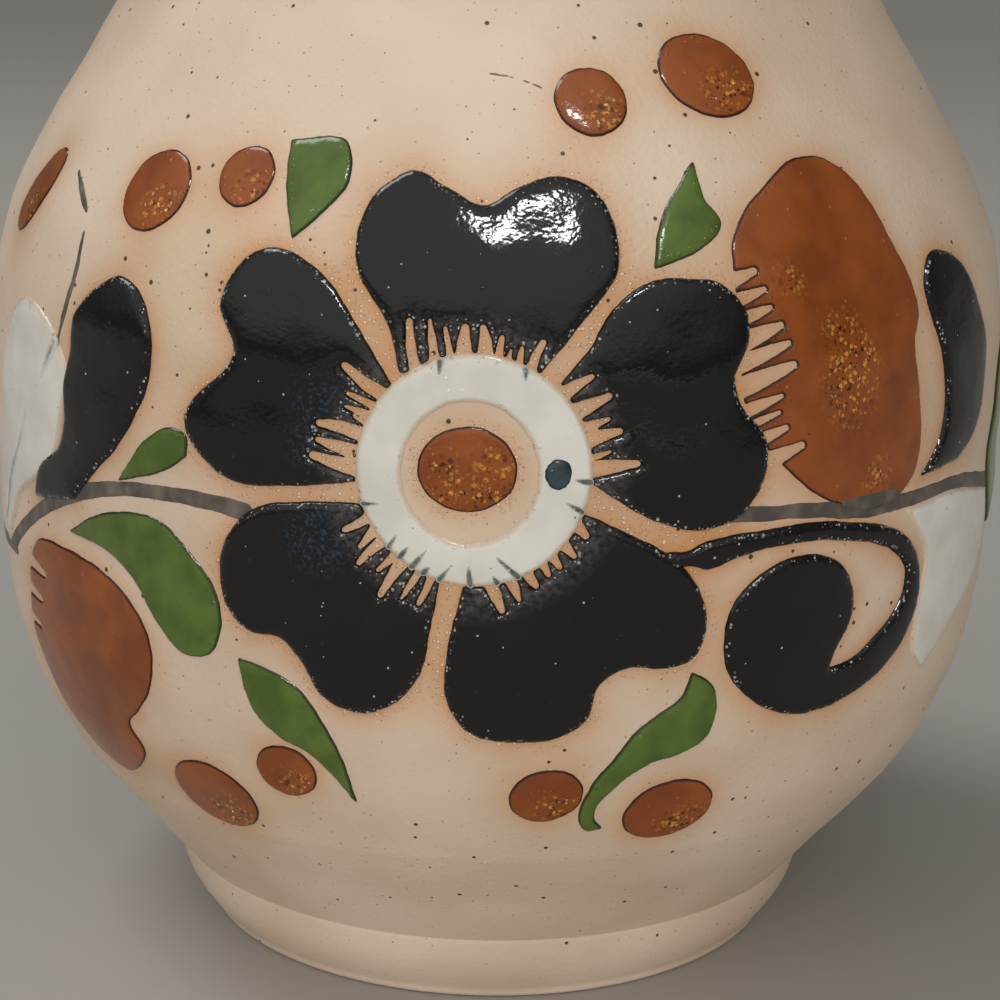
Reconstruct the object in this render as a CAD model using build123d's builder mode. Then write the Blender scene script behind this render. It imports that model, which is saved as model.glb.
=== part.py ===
from build123d import *

import os
from math import asin, cos, degrees, radians, sin

# Mexican olla: a small thrown stoneware pot, trimmed below the belly, standing on a
# low foot, with a short flared neck and a rolled rim.  Its band of flowers is laid on
# in thick glazes that stand proud of the bare clay, and the roots of the petals are
# combed through to the clay while the glaze is raw.
# Millimetres, +Z up.  The origin is the centre of the standing ring, the main flower
# faces -Y, and azimuths are degrees from -Y towards +X.

# Thrown body
belly_radius = 40.0
widest_height = 42.5
belly_curve = 150.0
lower_curve = 31.4
shoulder_curve = 27.8
lower_turn = 4.5
shoulder_turn = 3.0
trim_turn = 33.4
shoulder_lean = 31.2
wall = 3.6
floor_thickness = 4.2
floor_fillet = 5.0

# Foot
foot_height = 6.0
crease_radius = 26.3
foot_taper = 2.4
foot_bulge = 0.6
foot_ring_width = 5.6
foot_edge_fillet = 0.7

# Neck and rim
throat_radius = 22.0
neck_curve = 12.0
neck_flare = 40.0
lip_radius = 2.4

# Glazes
dark_glaze = 0.45
pale_glaze = 0.35
brown_glaze = 0.25
wash = 0.15
stem_width = 1.15
stroke_width = 0.5

# Scratches of the comb in the petals and in the buds, which narrow towards their tips
petal_gap_width = 1.1
bud_gap_width = 1.5
comb_tip_share = 0.4

# Where the brushwork is drawn from: an upright plane this far outside the belly
stand_off = 2.0
overrun = 1.0

# The band of ornament is laid out on the belly, so it grows with it: what its marks
# are placed and sized by is how far the main flower's petals reach from its middle
flower_azimuth = -2.0
flower_rise = 2.5
petal_reach_share = 0.5
petal_reach = belly_radius * petal_reach_share
flower_height = widest_height + flower_rise

# Middle of the flower: the ring, then its hole, the eye and the dot, each with its
# place, width and height as shares of the petal reach
ring_radius_share = 0.38
ring_radius = petal_reach * ring_radius_share
ring_hole_shares = (-0.012, -0.004, 0.435, 0.46)
eye_shares = (-0.019, 0.008, 0.32, 0.28)
dot_shares = (0.27, 0.0, 0.09, 0.11)

# Outlines of the five petals, from root to root, as shares of the petal reach
top_petal_shares = [
    (-0.24, 0.31), (-0.28, 0.46), (-0.38, 0.62), (-0.38, 0.77), (-0.32, 0.87),
    (-0.21, 0.93), (-0.10, 0.88), (0.015, 0.83), (0.13, 0.89), (0.26, 0.92),
    (0.37, 0.87), (0.43, 0.77), (0.44, 0.63), (0.36, 0.51), (0.20, 0.31),
]
upper_left_petal_shares = [
    (-0.38, -0.05), (-0.65, -0.09), (-0.80, -0.09), (-0.92, -0.01), (-0.97, 0.09),
    (-0.93, 0.18), (-0.83, 0.27), (-0.79, 0.35), (-0.84, 0.48), (-0.79, 0.60),
    (-0.70, 0.67), (-0.61, 0.67), (-0.49, 0.60), (-0.39, 0.47), (-0.26, 0.27),
]
upper_right_petal_shares = [
    (0.27, 0.29), (0.36, 0.40), (0.43, 0.52), (0.54, 0.60), (0.65, 0.61),
    (0.77, 0.59), (0.86, 0.50), (0.87, 0.40), (0.83, 0.29), (0.86, 0.19),
    (0.94, 0.09), (0.94, -0.05), (0.87, -0.17), (0.73, -0.21), (0.55, -0.15),
    (0.37, -0.03),
]
lower_right_petal_shares = [
    (0.33, -0.12), (0.45, -0.18), (0.63, -0.28), (0.73, -0.39), (0.77, -0.52),
    (0.73, -0.65), (0.63, -0.68), (0.51, -0.67), (0.42, -0.73), (0.39, -0.84),
    (0.30, -0.91), (0.14, -0.93), (0.00, -0.90), (-0.08, -0.78), (-0.08, -0.62),
    (-0.05, -0.47), (-0.01, -0.31),
]
lower_left_petal_shares = [
    (-0.10, -0.34), (-0.13, -0.52), (-0.17, -0.70), (-0.26, -0.81), (-0.38, -0.85),
    (-0.50, -0.80), (-0.57, -0.68), (-0.64, -0.61), (-0.75, -0.60), (-0.83, -0.52),
    (-0.85, -0.38), (-0.81, -0.26), (-0.72, -0.17), (-0.55, -0.13), (-0.34, -0.12),
]

# Comb of each petal: direction of each scratch in degrees where it starts at the ring
# and at its tip, its reach as a share of the petal reach, and its width as a share of
# the widest scratch
petal_comb_shares = {
    "top": [
        (122, 114, 0.53, 0.75), (112, 107, 0.51, 0.65), (103, 102, 0.48, 0.5),
        (95, 94, 0.47, 1.0), (85, 87, 0.47, 1.0), (78, 79, 0.45, 0.6),
        (68, 70, 0.44, 0.5), (60, 63, 0.48, 0.75),
    ],
    "upper_left": [
        (139, 142, 0.54, 0.9), (147, 150, 0.48, 0.5), (153, 155, 0.47, 0.55),
        (164, 165, 0.53, 0.9), (173, 171, 0.52, 0.9), (182, 177, 0.53, 1.0),
    ],
    "upper_right": [
        (42, 40, 0.49, 0.9), (33, 30, 0.50, 1.0), (24, 22, 0.47, 0.7),
        (15, 16, 0.49, 0.95), (8, 9, 0.45, 0.45), (0, 3, 0.53, 1.0),
    ],
    "lower_right": [
        (334, 330, 0.43, 0.9), (323, 320, 0.43, 0.75), (315, 312, 0.43, 0.7),
        (307, 306, 0.42, 0.65), (299, 299, 0.43, 0.8), (288, 290, 0.45, 0.8),
        (277, 282, 0.48, 0.9),
    ],
    "lower_left": [
        (204, 207, 0.48, 0.7), (211, 216, 0.46, 0.75), (219, 221, 0.50, 0.75),
        (227, 228, 0.47, 0.55), (235, 235, 0.53, 0.8), (243, 242, 0.50, 0.5),
        (250, 249, 0.49, 0.6),
    ],
}

# Marks of the band: azimuth, height above the flower's middle, width, length and the
# lines that they are drawn with.  Heights, widths and lengths are shares of the petal
# reach, and the lines are shares of the mark's own width and length.

# Two brown buds, combed on one side: each scratch's tip, and its width as a share of
# the widest one
right_bud_shares = (34.0, 0.4, 0.885, 1.18, [[
    (0.08, 0.48), (-0.06, 0.47), (-0.18, 0.42), (-0.31, 0.35), (-0.40, 0.26),
    (-0.42, 0.10), (-0.42, -0.10), (-0.36, -0.24), (-0.19, -0.38), (0.02, -0.48),
    (0.30, -0.52), (0.48, -0.46), (0.52, -0.33), (0.50, -0.19), (0.46, -0.06),
    (0.50, 0.03), (0.46, 0.12), (0.38, 0.23), (0.32, 0.33), (0.22, 0.43),
]])
right_bud_comb_shares = [
    (-0.33, 0.19, 0.9), (-0.30, 0.14, 0.8), (-0.28, 0.09, 0.8), (-0.24, 0.04, 1.0),
    (-0.21, -0.01, 0.85), (-0.19, -0.07, 1.0), (-0.245, -0.155, 0.75),
    (-0.25, -0.20, 0.5), (-0.22, -0.245, 0.8), (-0.15, -0.30, 1.0),
]
left_bud_shares = (-49.0, -0.925, 0.865, 0.9, [[
    (-0.30, 0.48), (-0.05, 0.50), (0.20, 0.47), (0.36, 0.40), (0.46, 0.28),
    (0.48, 0.15), (0.44, 0.02), (0.32, -0.11), (0.23, -0.19), (0.27, -0.29),
    (0.22, -0.36), (0.00, -0.48), (-0.21, -0.43), (-0.41, -0.22), (-0.50, 0.00),
    (-0.48, 0.22), (-0.40, 0.38),
]])
left_bud_comb_shares = [
    (-0.26, 0.34, 0.9), (-0.34, 0.21, 0.8), (-0.39, 0.08, 0.6),
]
bud_comb_share = 0.23
right_bud_comb_angle = 197.0
left_bud_comb_angle = 170.0

# Berries: azimuth, height, width, length and tilt
front_berry_shares = [
    (-62.5, 0.75, 0.18, 0.37, -38.0), (-38.7, 0.815, 0.3, 0.26, 20.0),
    (-27.3, 0.885, 0.21, 0.19, 15.0), (10.0, 1.145, 0.24, 0.21, -8.0),
    (24.8, 1.225, 0.35, 0.26, -12.0), (-32.6, -1.302, 0.36, 0.284, -3.0),
    (-21.7, -1.12, 0.23, 0.207, 5.0), (5.8, -1.15, 0.256, 0.217, 15.0),
    (19.5, -1.244, 0.33, 0.256, 8.0),
]
back_berry_shares = [
    (152.0, 0.925, 0.28, 0.24, 12.0), (166.0, 1.05, 0.22, 0.2, 0.0),
    (196.0, 1.025, 0.23, 0.2, -6.0), (209.0, 0.875, 0.3, 0.25, -15.0),
    (118.0, 0.65, 0.26, 0.29, 8.0), (243.0, 0.6, 0.27, 0.3, -8.0),
    (170.0, -1.15, 0.26, 0.21, 6.0), (192.0, -1.175, 0.31, 0.22, -8.0),
]

# Green leaves, with one or two sides from tip to tip
upper_left_leaf_shares = (-19.0, 0.85, 0.245, 0.31, (
    [(-0.50, 0.50), (0.07, 0.56), (0.30, 0.52), (0.42, 0.37), (0.45, 0.12),
     (0.28, -0.10), (-0.21, -0.48)],
    [(-0.21, -0.48), (-0.44, 0.05), (-0.50, 0.50)],
))
upper_right_leaf_shares = (19.0, 0.8, 0.25, 0.335, (
    [(0.20, 0.50), (0.26, 0.15), (0.45, -0.06), (0.36, -0.19), (-0.03, -0.36),
     (-0.56, -0.48)],
    [(-0.56, -0.48), (-0.41, -0.07), (-0.05, 0.30), (0.20, 0.50)],
))
small_left_leaf_shares = (-35.0, -0.05, 0.35, 0.225, (
    [(-0.53, -0.52), (-0.13, 0.20), (0.21, 0.49), (0.42, 0.40), (0.42, 0.08)],
    [(0.42, 0.08), (0.12, -0.21), (-0.53, -0.52)],
))
middle_left_leaf_shares = (-38.0, -0.5, 0.75, 0.47, (
    [(-0.52, 0.20), (-0.28, 0.40), (-0.04, 0.50), (0.18, 0.48), (0.34, 0.29),
     (0.47, 0.03), (0.49, -0.24), (0.40, -0.47), (0.24, -0.49), (0.11, -0.29),
     (-0.02, -0.01), (-0.21, 0.15), (-0.52, 0.20)],
))
lower_left_leaf_shares = (-20.0, -0.95, 0.385, 0.52, (
    [(-0.51, 0.47), (-0.16, 0.41), (0.11, 0.29), (0.30, 0.08), (0.42, -0.14),
     (0.50, -0.53)],
    [(0.50, -0.53), (0.29, -0.29), (0.10, -0.15), (-0.13, -0.07), (-0.35, 0.07),
     (-0.47, 0.27), (-0.51, 0.47)],
))
lower_right_leaf_shares = (16.0, -1.0, 0.44, 0.605, (
    [(0.28, 0.50), (0.47, 0.40), (0.52, 0.23), (0.43, 0.06), (0.22, -0.02),
     (0.02, -0.06), (-0.18, -0.17), (-0.33, -0.31), (-0.35, -0.41), (-0.26, -0.50)],
    [(-0.26, -0.50), (-0.40, -0.51), (-0.48, -0.39), (-0.42, -0.18), (-0.28, -0.01),
     (-0.13, 0.16), (0.03, 0.25), (0.22, 0.36), (0.28, 0.50)],
))
far_right_leaf_shares = (73.5, -0.125, 0.45, 0.75, (
    [(0.20, 0.50), (-0.20, 0.28), (-0.46, -0.02), (-0.40, -0.28), (-0.10, -0.50)],
    [(-0.10, -0.50), (0.28, -0.25), (0.46, 0.02), (0.40, 0.28), (0.20, 0.50)],
))
back_leaf_shares = (0.0, 0.0, 0.60, 0.425, (
    [(-0.50, 0.20), (-0.22, 0.44), (0.08, 0.48), (0.34, 0.26), (0.50, -0.24)],
    [(0.50, -0.24), (0.26, -0.34), (0.00, -0.12), (-0.22, 0.08), (-0.50, 0.20)],
))
back_leaf_place_shares = [
    (100.0, -0.7), (150.0, -0.775), (232.0, -0.8), (262.0, 0.15),
]

# White and dark strokes beside the flower
white_bud_shares = (-59.0, -0.1, 0.685, 0.995, (
    [(-0.44, -0.51), (-0.52, -0.20), (-0.42, 0.10), (-0.26, 0.34), (0.02, 0.49),
     (0.34, 0.43), (0.47, 0.34)],
    [(0.47, 0.34), (0.55, 0.26), (0.49, 0.12), (0.40, -0.04), (0.16, -0.16),
     (-0.12, -0.26), (-0.28, -0.37), (-0.44, -0.51)],
))
white_leaf_shares = (57.0, -0.55, 0.795, 0.655, (
    [(-0.50, 0.46), (-0.10, 0.48), (0.42, 0.37)],
    [(0.42, 0.37), (0.50, 0.10), (0.40, -0.12), (0.16, -0.29), (-0.17, -0.54)],
    [(-0.17, -0.54), (-0.30, -0.40), (-0.33, -0.12), (-0.30, 0.14), (-0.50, 0.46)],
))
left_lobe_shares = (-46.0, 0.1, 0.725, 0.865, (
    [(-0.50, -0.50), (-0.40, -0.34), (-0.20, -0.23), (-0.13, -0.10), (-0.14, 0.04),
     (-0.09, 0.18), (-0.05, 0.33), (0.09, 0.44), (0.26, 0.50), (0.41, 0.44),
     (0.50, 0.30), (0.49, 0.12), (0.41, -0.03), (0.28, -0.17), (0.10, -0.30),
     (-0.07, -0.44)],
    [(-0.07, -0.44), (-0.50, -0.50)],
))
right_lobe_shares = (55.0, 0.25, 0.53, 0.775, (
    [(-0.47, -0.51), (-0.28, -0.37), (-0.19, -0.18), (-0.27, 0.05), (-0.38, 0.22),
     (-0.43, 0.36), (-0.33, 0.47), (-0.17, 0.49), (0.08, 0.43), (0.32, 0.27),
     (0.50, 0.02), (0.46, -0.24), (0.26, -0.41), (0.04, -0.49)],
    [(0.04, -0.49), (-0.47, -0.51)],
))
scroll_shares = (34.0, -0.6, 1.08, 0.665, (
    [(-0.52, 0.50), (-0.35, 0.55), (-0.23, 0.56), (-0.04, 0.565), (0.10, 0.53),
     (0.27, 0.47), (0.40, 0.36), (0.47, 0.21), (0.49, 0.06), (0.47, -0.09),
     (0.41, -0.25), (0.31, -0.37), (0.19, -0.44), (0.08, -0.48), (-0.06, -0.48),
     (-0.18, -0.41), (-0.28, -0.29), (-0.34, -0.16), (-0.36, -0.01), (-0.35, 0.13),
     (-0.31, 0.25), (-0.23, 0.35), (-0.13, 0.40), (-0.03, 0.39), (0.06, 0.33),
     (0.11, 0.24), (0.14, 0.11), (0.13, -0.01), (0.09, -0.12), (0.06, -0.25)],
    [(0.06, -0.25), (0.17, -0.23), (0.27, -0.13), (0.36, -0.02), (0.40, 0.10),
     (0.395, 0.20), (0.33, 0.30), (0.23, 0.38), (0.10, 0.43), (-0.04, 0.465),
     (-0.23, 0.46), (-0.35, 0.44), (-0.47, 0.37)],
    [(-0.47, 0.37), (-0.52, 0.50)],
))

# Stems and fine strokes, with the lines that the brush follows
left_stem_shares = (-45.0, -0.4, 1.415, 0.415, [
    [(0.50, 0.51), (0.38, 0.55), (0.16, 0.52), (0.00, 0.41), (-0.14, 0.24),
     (-0.28, 0.02), (-0.40, -0.22), (-0.50, -0.45)],
])
right_stem_shares = (49.0, -0.25, 1.595, 0.155, [
    [(-0.51, 0.53), (-0.37, 0.44), (-0.22, 0.24), (-0.07, 0.22), (0.18, 0.18),
     (0.49, -0.46)],
])
back_right_stem_shares = (118.0, -0.25, 2.8, 0.3, [
    [(-0.505, -0.25), (-0.32, -0.34), (-0.10, -0.08), (0.16, 0.22), (0.36, 0.34),
     (0.50, 0.42)],
])
back_left_stem_shares = (248.0, -0.375, 2.85, 0.45, [
    [(0.505, -0.50), (0.36, -0.56), (0.16, -0.25), (-0.08, 0.22), (-0.30, 0.40),
     (-0.50, 0.44)],
])
bud_stroke_shares = (-50.5, 0.6, 0.23, 0.75, [
    [(-0.45, -0.42), (-0.10, -0.18), (0.24, 0.10), (0.40, 0.22)],
    [(0.32, 0.26), (0.10, 0.38), (-0.22, 0.46)],
])

# White flower on the back
back_petal_count = 5
back_petal_root_share = 0.17
back_eye_shares = (0.0, 0.0, 0.3, 0.3)
back_petal_shares = (180.0, -0.05, 0.575, 0.525, [[
    (-0.10, -0.50), (-0.34, -0.20), (-0.50, 0.14), (-0.42, 0.42), (-0.20, 0.50),
    (0.00, 0.38), (0.20, 0.50), (0.42, 0.42), (0.50, 0.14), (0.34, -0.20),
    (0.10, -0.50),
], [(0.10, -0.50), (-0.10, -0.50)]])
back_lobe_place_shares = [
    (97.0, 0.35), (126.0, -0.75), (222.0, 0.5),
]


def turned(center, radius, angle):
    """Point of a circle in the wall's section, angle in degrees above outwards."""
    return (
        center[0] + radius * cos(radians(angle)),
        center[1] + radius * sin(radians(angle)),
    )


# Centres of the arcs that the wall's section is drawn with
belly_center = (belly_radius - belly_curve, widest_height)
lower_center = turned(belly_center, belly_curve - lower_curve, -lower_turn)
shoulder_center = turned(belly_center, belly_curve - shoulder_curve, shoulder_turn)
shoulder_end = turned(shoulder_center, shoulder_curve, shoulder_lean)
neck_center_radius = throat_radius + neck_curve
neck_center = (
    neck_center_radius,
    shoulder_end[1]
    + (neck_curve - (neck_center_radius - shoulder_end[0]) * cos(radians(shoulder_lean)))
    / sin(radians(shoulder_lean)),
)
inner_joint = turned(neck_center, neck_curve + wall, 180 + shoulder_lean)
floor_height = foot_height + floor_thickness
base_radius = crease_radius - foot_taper
reach = belly_radius + stand_off


def belly_arcs(outward, first_turn):
    """Lower, belly and shoulder arcs of the wall, moved outwards by a distance."""
    lower = CenterArc(
        lower_center, lower_curve + outward, -first_turn, first_turn - lower_turn
    )
    CenterArc(belly_center, belly_curve + outward, -lower_turn, lower_turn + shoulder_turn)
    upper = CenterArc(
        shoulder_center, shoulder_curve + outward, shoulder_turn,
        shoulder_lean - shoulder_turn,
    )
    return lower @ 0, upper @ 1


def outer_face(outward):
    """Half section inside the wall's outer face, up to the neck joint."""
    with BuildSketch() as face:
        with BuildLine():
            trim, shoulder = belly_arcs(outward, trim_turn)
            joint = turned(neck_center, neck_curve - outward, 180 + shoulder_lean)
            Line(shoulder, joint)
            Line(joint, inner_joint)
            Line(inner_joint, (0, inner_joint[1]))
            Line((0, inner_joint[1]), (0, foot_height))
            Line((0, foot_height), (crease_radius + outward, foot_height))
            Line((crease_radius + outward, foot_height), trim)
        make_face()
    return face.sketch


def inner_face():
    """Half section of the space inside the pot, up to the neck joint."""
    floor_radius = lower_center[0] + (
        (lower_curve - wall) ** 2 - (lower_center[1] - floor_height) ** 2
    ) ** 0.5
    floor_turn = degrees(asin((lower_center[1] - floor_height) / (lower_curve - wall)))
    with BuildSketch() as face:
        with BuildLine():
            start, shoulder = belly_arcs(-wall, floor_turn)
            Line(shoulder, inner_joint)
            Line(inner_joint, (0, inner_joint[1]))
            Line((0, inner_joint[1]), (0, floor_height))
            Line((0, floor_height), start)
        make_face()
        corner = face.vertices().sort_by_distance((floor_radius, floor_height))[0]
        fillet(corner, radius=floor_fillet)
    return face.sketch


def neck_face():
    """Half section of the neck, from its joint on the shoulder up to the lip."""
    turn = shoulder_lean + neck_flare
    with BuildSketch() as face:
        with BuildLine():
            outside = CenterArc(neck_center, neck_curve, 180 - neck_flare, turn)
            inside = CenterArc(neck_center, neck_curve + wall, 180 - neck_flare, turn)
            Line(outside @ 0, inside @ 0)
            Line(outside @ 1, inside @ 1)
        make_face()
    return face.sketch


def glaze_skin(thickness):
    """Skin of this thickness all over the outside, from the foot to the neck."""
    with BuildPart() as skin:
        with BuildSketch(Plane.XZ):
            add(outer_face(thickness))
            add(outer_face(0), mode=Mode.SUBTRACT)
        revolve(axis=Axis.Z)
    return skin.part


def face_plane(azimuth, height):
    """Upright plane outside the belly, facing outwards at this azimuth."""
    across = (cos(radians(azimuth)), sin(radians(azimuth)))
    return Plane(
        origin=(reach * across[1], -reach * across[0], height),
        x_dir=(across[0], across[1], 0),
        z_dir=(across[1], -across[0], 0),
    )


def scaled(shares, width, length):
    """Points of an outline, from shares of its width and length."""
    return [(width * x, length * y) for x, y in shares]


def mark_plane(mark_shares):
    """Plane on which a mark is drawn, from its azimuth and height."""
    azimuth, height_share = mark_shares[:2]
    return face_plane(azimuth, flower_height + petal_reach * height_share)


def mark_lines(mark_shares):
    """Lines of a mark, each a list of points."""
    width_share, length_share, lines = mark_shares[2:]
    return [
        scaled(line, petal_reach * width_share, petal_reach * length_share)
        for line in lines
    ]


def sided_outline(mark_shares):
    """Closed outline of smooth sides that meet in corners."""
    with BuildSketch() as outline:
        with BuildLine():
            for points in mark_lines(mark_shares):
                if len(points) > 2:
                    Spline(*points)
                else:
                    Line(*points)
        make_face()
    return outline.sketch


def brush_line(mark_shares, breadth):
    """Outline of one or more lines drawn with a brush of this breadth."""
    with BuildSketch() as outline:
        for points in mark_lines(mark_shares):
            with BuildLine():
                Spline(*points)
            trace(line_width=breadth)
    return outline.sketch


def berry_outline(berry_shares):
    """Oval of one berry, from its width, length and tilt."""
    width_share, length_share, tilt = berry_shares[2:]
    with BuildSketch() as outline:
        Ellipse(petal_reach * width_share / 2, petal_reach * length_share / 2, rotation=tilt)
    return outline.sketch


def dab(dab_shares):
    """Oval dab in the middle of a flower."""
    x, y, width, length = (petal_reach * share for share in dab_shares)
    with BuildSketch() as outline:
        with Locations((x, y)):
            Ellipse(width / 2, length / 2)
    return outline.sketch


def scratch(start, tip, gap_width):
    """One scratch of the comb, narrowing from its start to its tip."""
    way = (tip - start).normalized()
    aside = Vector(-way.Y, way.X) * gap_width / 2
    with BuildSketch() as mark:
        Polygon(
            start - aside, tip - aside * comb_tip_share, tip + aside * comb_tip_share,
            start + aside, align=None,
        )
    return mark.sketch


def petal_outline(shares, comb_name):
    """Petal from its root on the ring, combed along that root."""
    with BuildSketch() as outline:
        with BuildLine():
            edge = Spline(*scaled(shares, petal_reach, petal_reach))
            Line(edge @ 1, edge @ 0)
        make_face()
        Circle(ring_radius, mode=Mode.SUBTRACT)
        for start_angle, tip_angle, reach_share, width_share in petal_comb_shares[comb_name]:
            start = Vector(ring_radius - overrun, 0).rotate(Axis.Z, start_angle)
            tip = Vector(petal_reach * reach_share, 0).rotate(Axis.Z, tip_angle)
            add(scratch(start, tip, petal_gap_width * width_share), mode=Mode.SUBTRACT)
    return outline.sketch


def bud_outline(bud_shares):
    """Closed outline of a bud, without corners."""
    with BuildSketch() as outline:
        with BuildLine():
            Spline(*mark_lines(bud_shares)[0], periodic=True)
        make_face()
    return outline.sketch


def bud_comb(bud_shares, comb_shares, angle):
    """Scratches that are dragged from a bud's edge in to the points of the comb."""
    width, length = (petal_reach * share for share in bud_shares[2:4])
    way = Vector(petal_reach * bud_comb_share, 0).rotate(Axis.Z, angle)
    with BuildSketch() as marks:
        for x_share, y_share, width_share in comb_shares:
            tip = Vector(width * x_share, length * y_share)
            add(scratch(tip + way, tip, bud_gap_width * width_share))
    return marks.sketch


def lay_on(skin):
    """Carry the drawn outlines through the near wall, and keep what is glaze."""
    extrude(amount=-reach)
    add(skin, mode=Mode.INTERSECT)


def finish(piece, name):
    """Label a piece and write it."""
    piece.part.label = name
    export_step(piece.part, "parts/" + name + ".step")


os.makedirs("parts", exist_ok=True)

# Clay body, from which the bowl and the shoulder are cut at the widest circle
with BuildPart() as wall_shell:
    with BuildSketch(Plane.XZ):
        add(outer_face(0))
        add(inner_face(), mode=Mode.SUBTRACT)
    revolve(axis=Axis.Z)

with BuildPart() as lower_bowl:
    add(wall_shell.part)
    split(bisect_by=Plane.XY.offset(widest_height), keep=Keep.BOTTOM)
finish(lower_bowl, "lower_bowl")

with BuildPart() as shoulder:
    add(wall_shell.part)
    split(bisect_by=Plane.XY.offset(widest_height), keep=Keep.TOP)
finish(shoulder, "shoulder")

with BuildPart() as foot_ring:
    with BuildSketch(Plane.XZ) as foot_section:
        with BuildLine():
            Line((base_radius - foot_ring_width, 0), (base_radius, 0))
            SagittaArc((base_radius, 0), (crease_radius, foot_height), foot_bulge)
            Line((crease_radius, foot_height), (base_radius - foot_ring_width, foot_height))
            Line((base_radius - foot_ring_width, foot_height), (base_radius - foot_ring_width, 0))
        make_face()
        fillet(foot_section.vertices().group_by(Axis.Y)[0], radius=foot_edge_fillet)
    revolve(axis=Axis.Z)
finish(foot_ring, "foot_ring")

with BuildPart() as neck:
    with BuildSketch(Plane.XZ):
        add(neck_face())
    revolve(axis=Axis.Z)
finish(neck, "neck")

with BuildPart() as rim:
    with BuildSketch(Plane.XZ):
        with Locations(turned(neck_center, neck_curve + wall / 2, 180 - neck_flare)):
            Circle(lip_radius)
        add(neck_face(), mode=Mode.SUBTRACT)
    revolve(axis=Axis.Z)
finish(rim, "rim")

dark_skin = glaze_skin(dark_glaze)
pale_skin = glaze_skin(pale_glaze)
brown_skin = glaze_skin(brown_glaze)
wash_skin = glaze_skin(wash)
flower_plane = face_plane(flower_azimuth, flower_height)

# Main flower: five combed petals round a white ring, with an eye and a dot
with BuildPart() as top_petal:
    with BuildSketch(flower_plane):
        add(petal_outline(top_petal_shares, "top"))
    lay_on(dark_skin)
finish(top_petal, "top_petal")

with BuildPart() as upper_left_petal:
    with BuildSketch(flower_plane):
        add(petal_outline(upper_left_petal_shares, "upper_left"))
    lay_on(dark_skin)
finish(upper_left_petal, "upper_left_petal")

with BuildPart() as upper_right_petal:
    with BuildSketch(flower_plane):
        add(petal_outline(upper_right_petal_shares, "upper_right"))
    lay_on(dark_skin)
finish(upper_right_petal, "upper_right_petal")

with BuildPart() as lower_right_petal:
    with BuildSketch(flower_plane):
        add(petal_outline(lower_right_petal_shares, "lower_right"))
    lay_on(dark_skin)
finish(lower_right_petal, "lower_right_petal")

with BuildPart() as lower_left_petal:
    with BuildSketch(flower_plane):
        add(petal_outline(lower_left_petal_shares, "lower_left"))
    lay_on(dark_skin)
finish(lower_left_petal, "lower_left_petal")

with BuildPart() as white_ring:
    with BuildSketch(flower_plane):
        Circle(ring_radius)
        add(dab(ring_hole_shares), mode=Mode.SUBTRACT)
        add(dab(dot_shares), mode=Mode.SUBTRACT)
    lay_on(pale_skin)
finish(white_ring, "white_ring")

with BuildPart() as ring_dot:
    with BuildSketch(flower_plane):
        add(dab(dot_shares))
    lay_on(pale_skin)
finish(ring_dot, "ring_dot")

with BuildPart() as flower_eye:
    with BuildSketch(flower_plane):
        add(dab(eye_shares))
    lay_on(brown_skin)
finish(flower_eye, "flower_eye")

# Brown buds beside the flower
with BuildPart() as right_bud:
    with BuildSketch(mark_plane(right_bud_shares)):
        add(bud_outline(right_bud_shares))
    lay_on(brown_skin)
    add(upper_right_petal.part, mode=Mode.SUBTRACT)
    with BuildSketch(mark_plane(right_bud_shares)):
        add(bud_comb(right_bud_shares, right_bud_comb_shares, right_bud_comb_angle))
    extrude(amount=-reach, mode=Mode.SUBTRACT)
finish(right_bud, "right_bud")

with BuildPart() as left_bud:
    with BuildSketch(mark_plane(left_bud_shares)):
        add(bud_outline(left_bud_shares))
    lay_on(brown_skin)
    with BuildSketch(mark_plane(left_bud_shares)):
        add(bud_comb(left_bud_shares, left_bud_comb_shares, left_bud_comb_angle))
    extrude(amount=-reach, mode=Mode.SUBTRACT)
finish(left_bud, "left_bud")

# Dark lobes and the scroll, drawn with a loaded brush
with BuildPart() as left_lobe:
    with BuildSketch(mark_plane(left_lobe_shares)):
        add(sided_outline(left_lobe_shares))
    lay_on(dark_skin)
finish(left_lobe, "left_lobe")

with BuildPart() as right_lobe:
    with BuildSketch(mark_plane(right_lobe_shares)):
        add(sided_outline(right_lobe_shares))
    lay_on(dark_skin)
    add(right_bud.part, mode=Mode.SUBTRACT)
finish(right_lobe, "right_lobe")

with BuildPart() as scroll_stroke:
    with BuildSketch(mark_plane(scroll_shares)):
        add(sided_outline(scroll_shares))
    lay_on(dark_skin)
    add(lower_right_petal.part, mode=Mode.SUBTRACT)
finish(scroll_stroke, "scroll")

# White buds at the sides of the flower
with BuildPart() as white_bud:
    with BuildSketch(mark_plane(white_bud_shares)):
        add(sided_outline(white_bud_shares))
    lay_on(pale_skin)
    add(left_lobe.part, mode=Mode.SUBTRACT)
finish(white_bud, "white_bud")

with BuildPart() as white_leaf:
    with BuildSketch(mark_plane(white_leaf_shares)):
        add(sided_outline(white_leaf_shares))
    lay_on(pale_skin)
    add(scroll_stroke.part, mode=Mode.SUBTRACT)
finish(white_leaf, "white_leaf")

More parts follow.
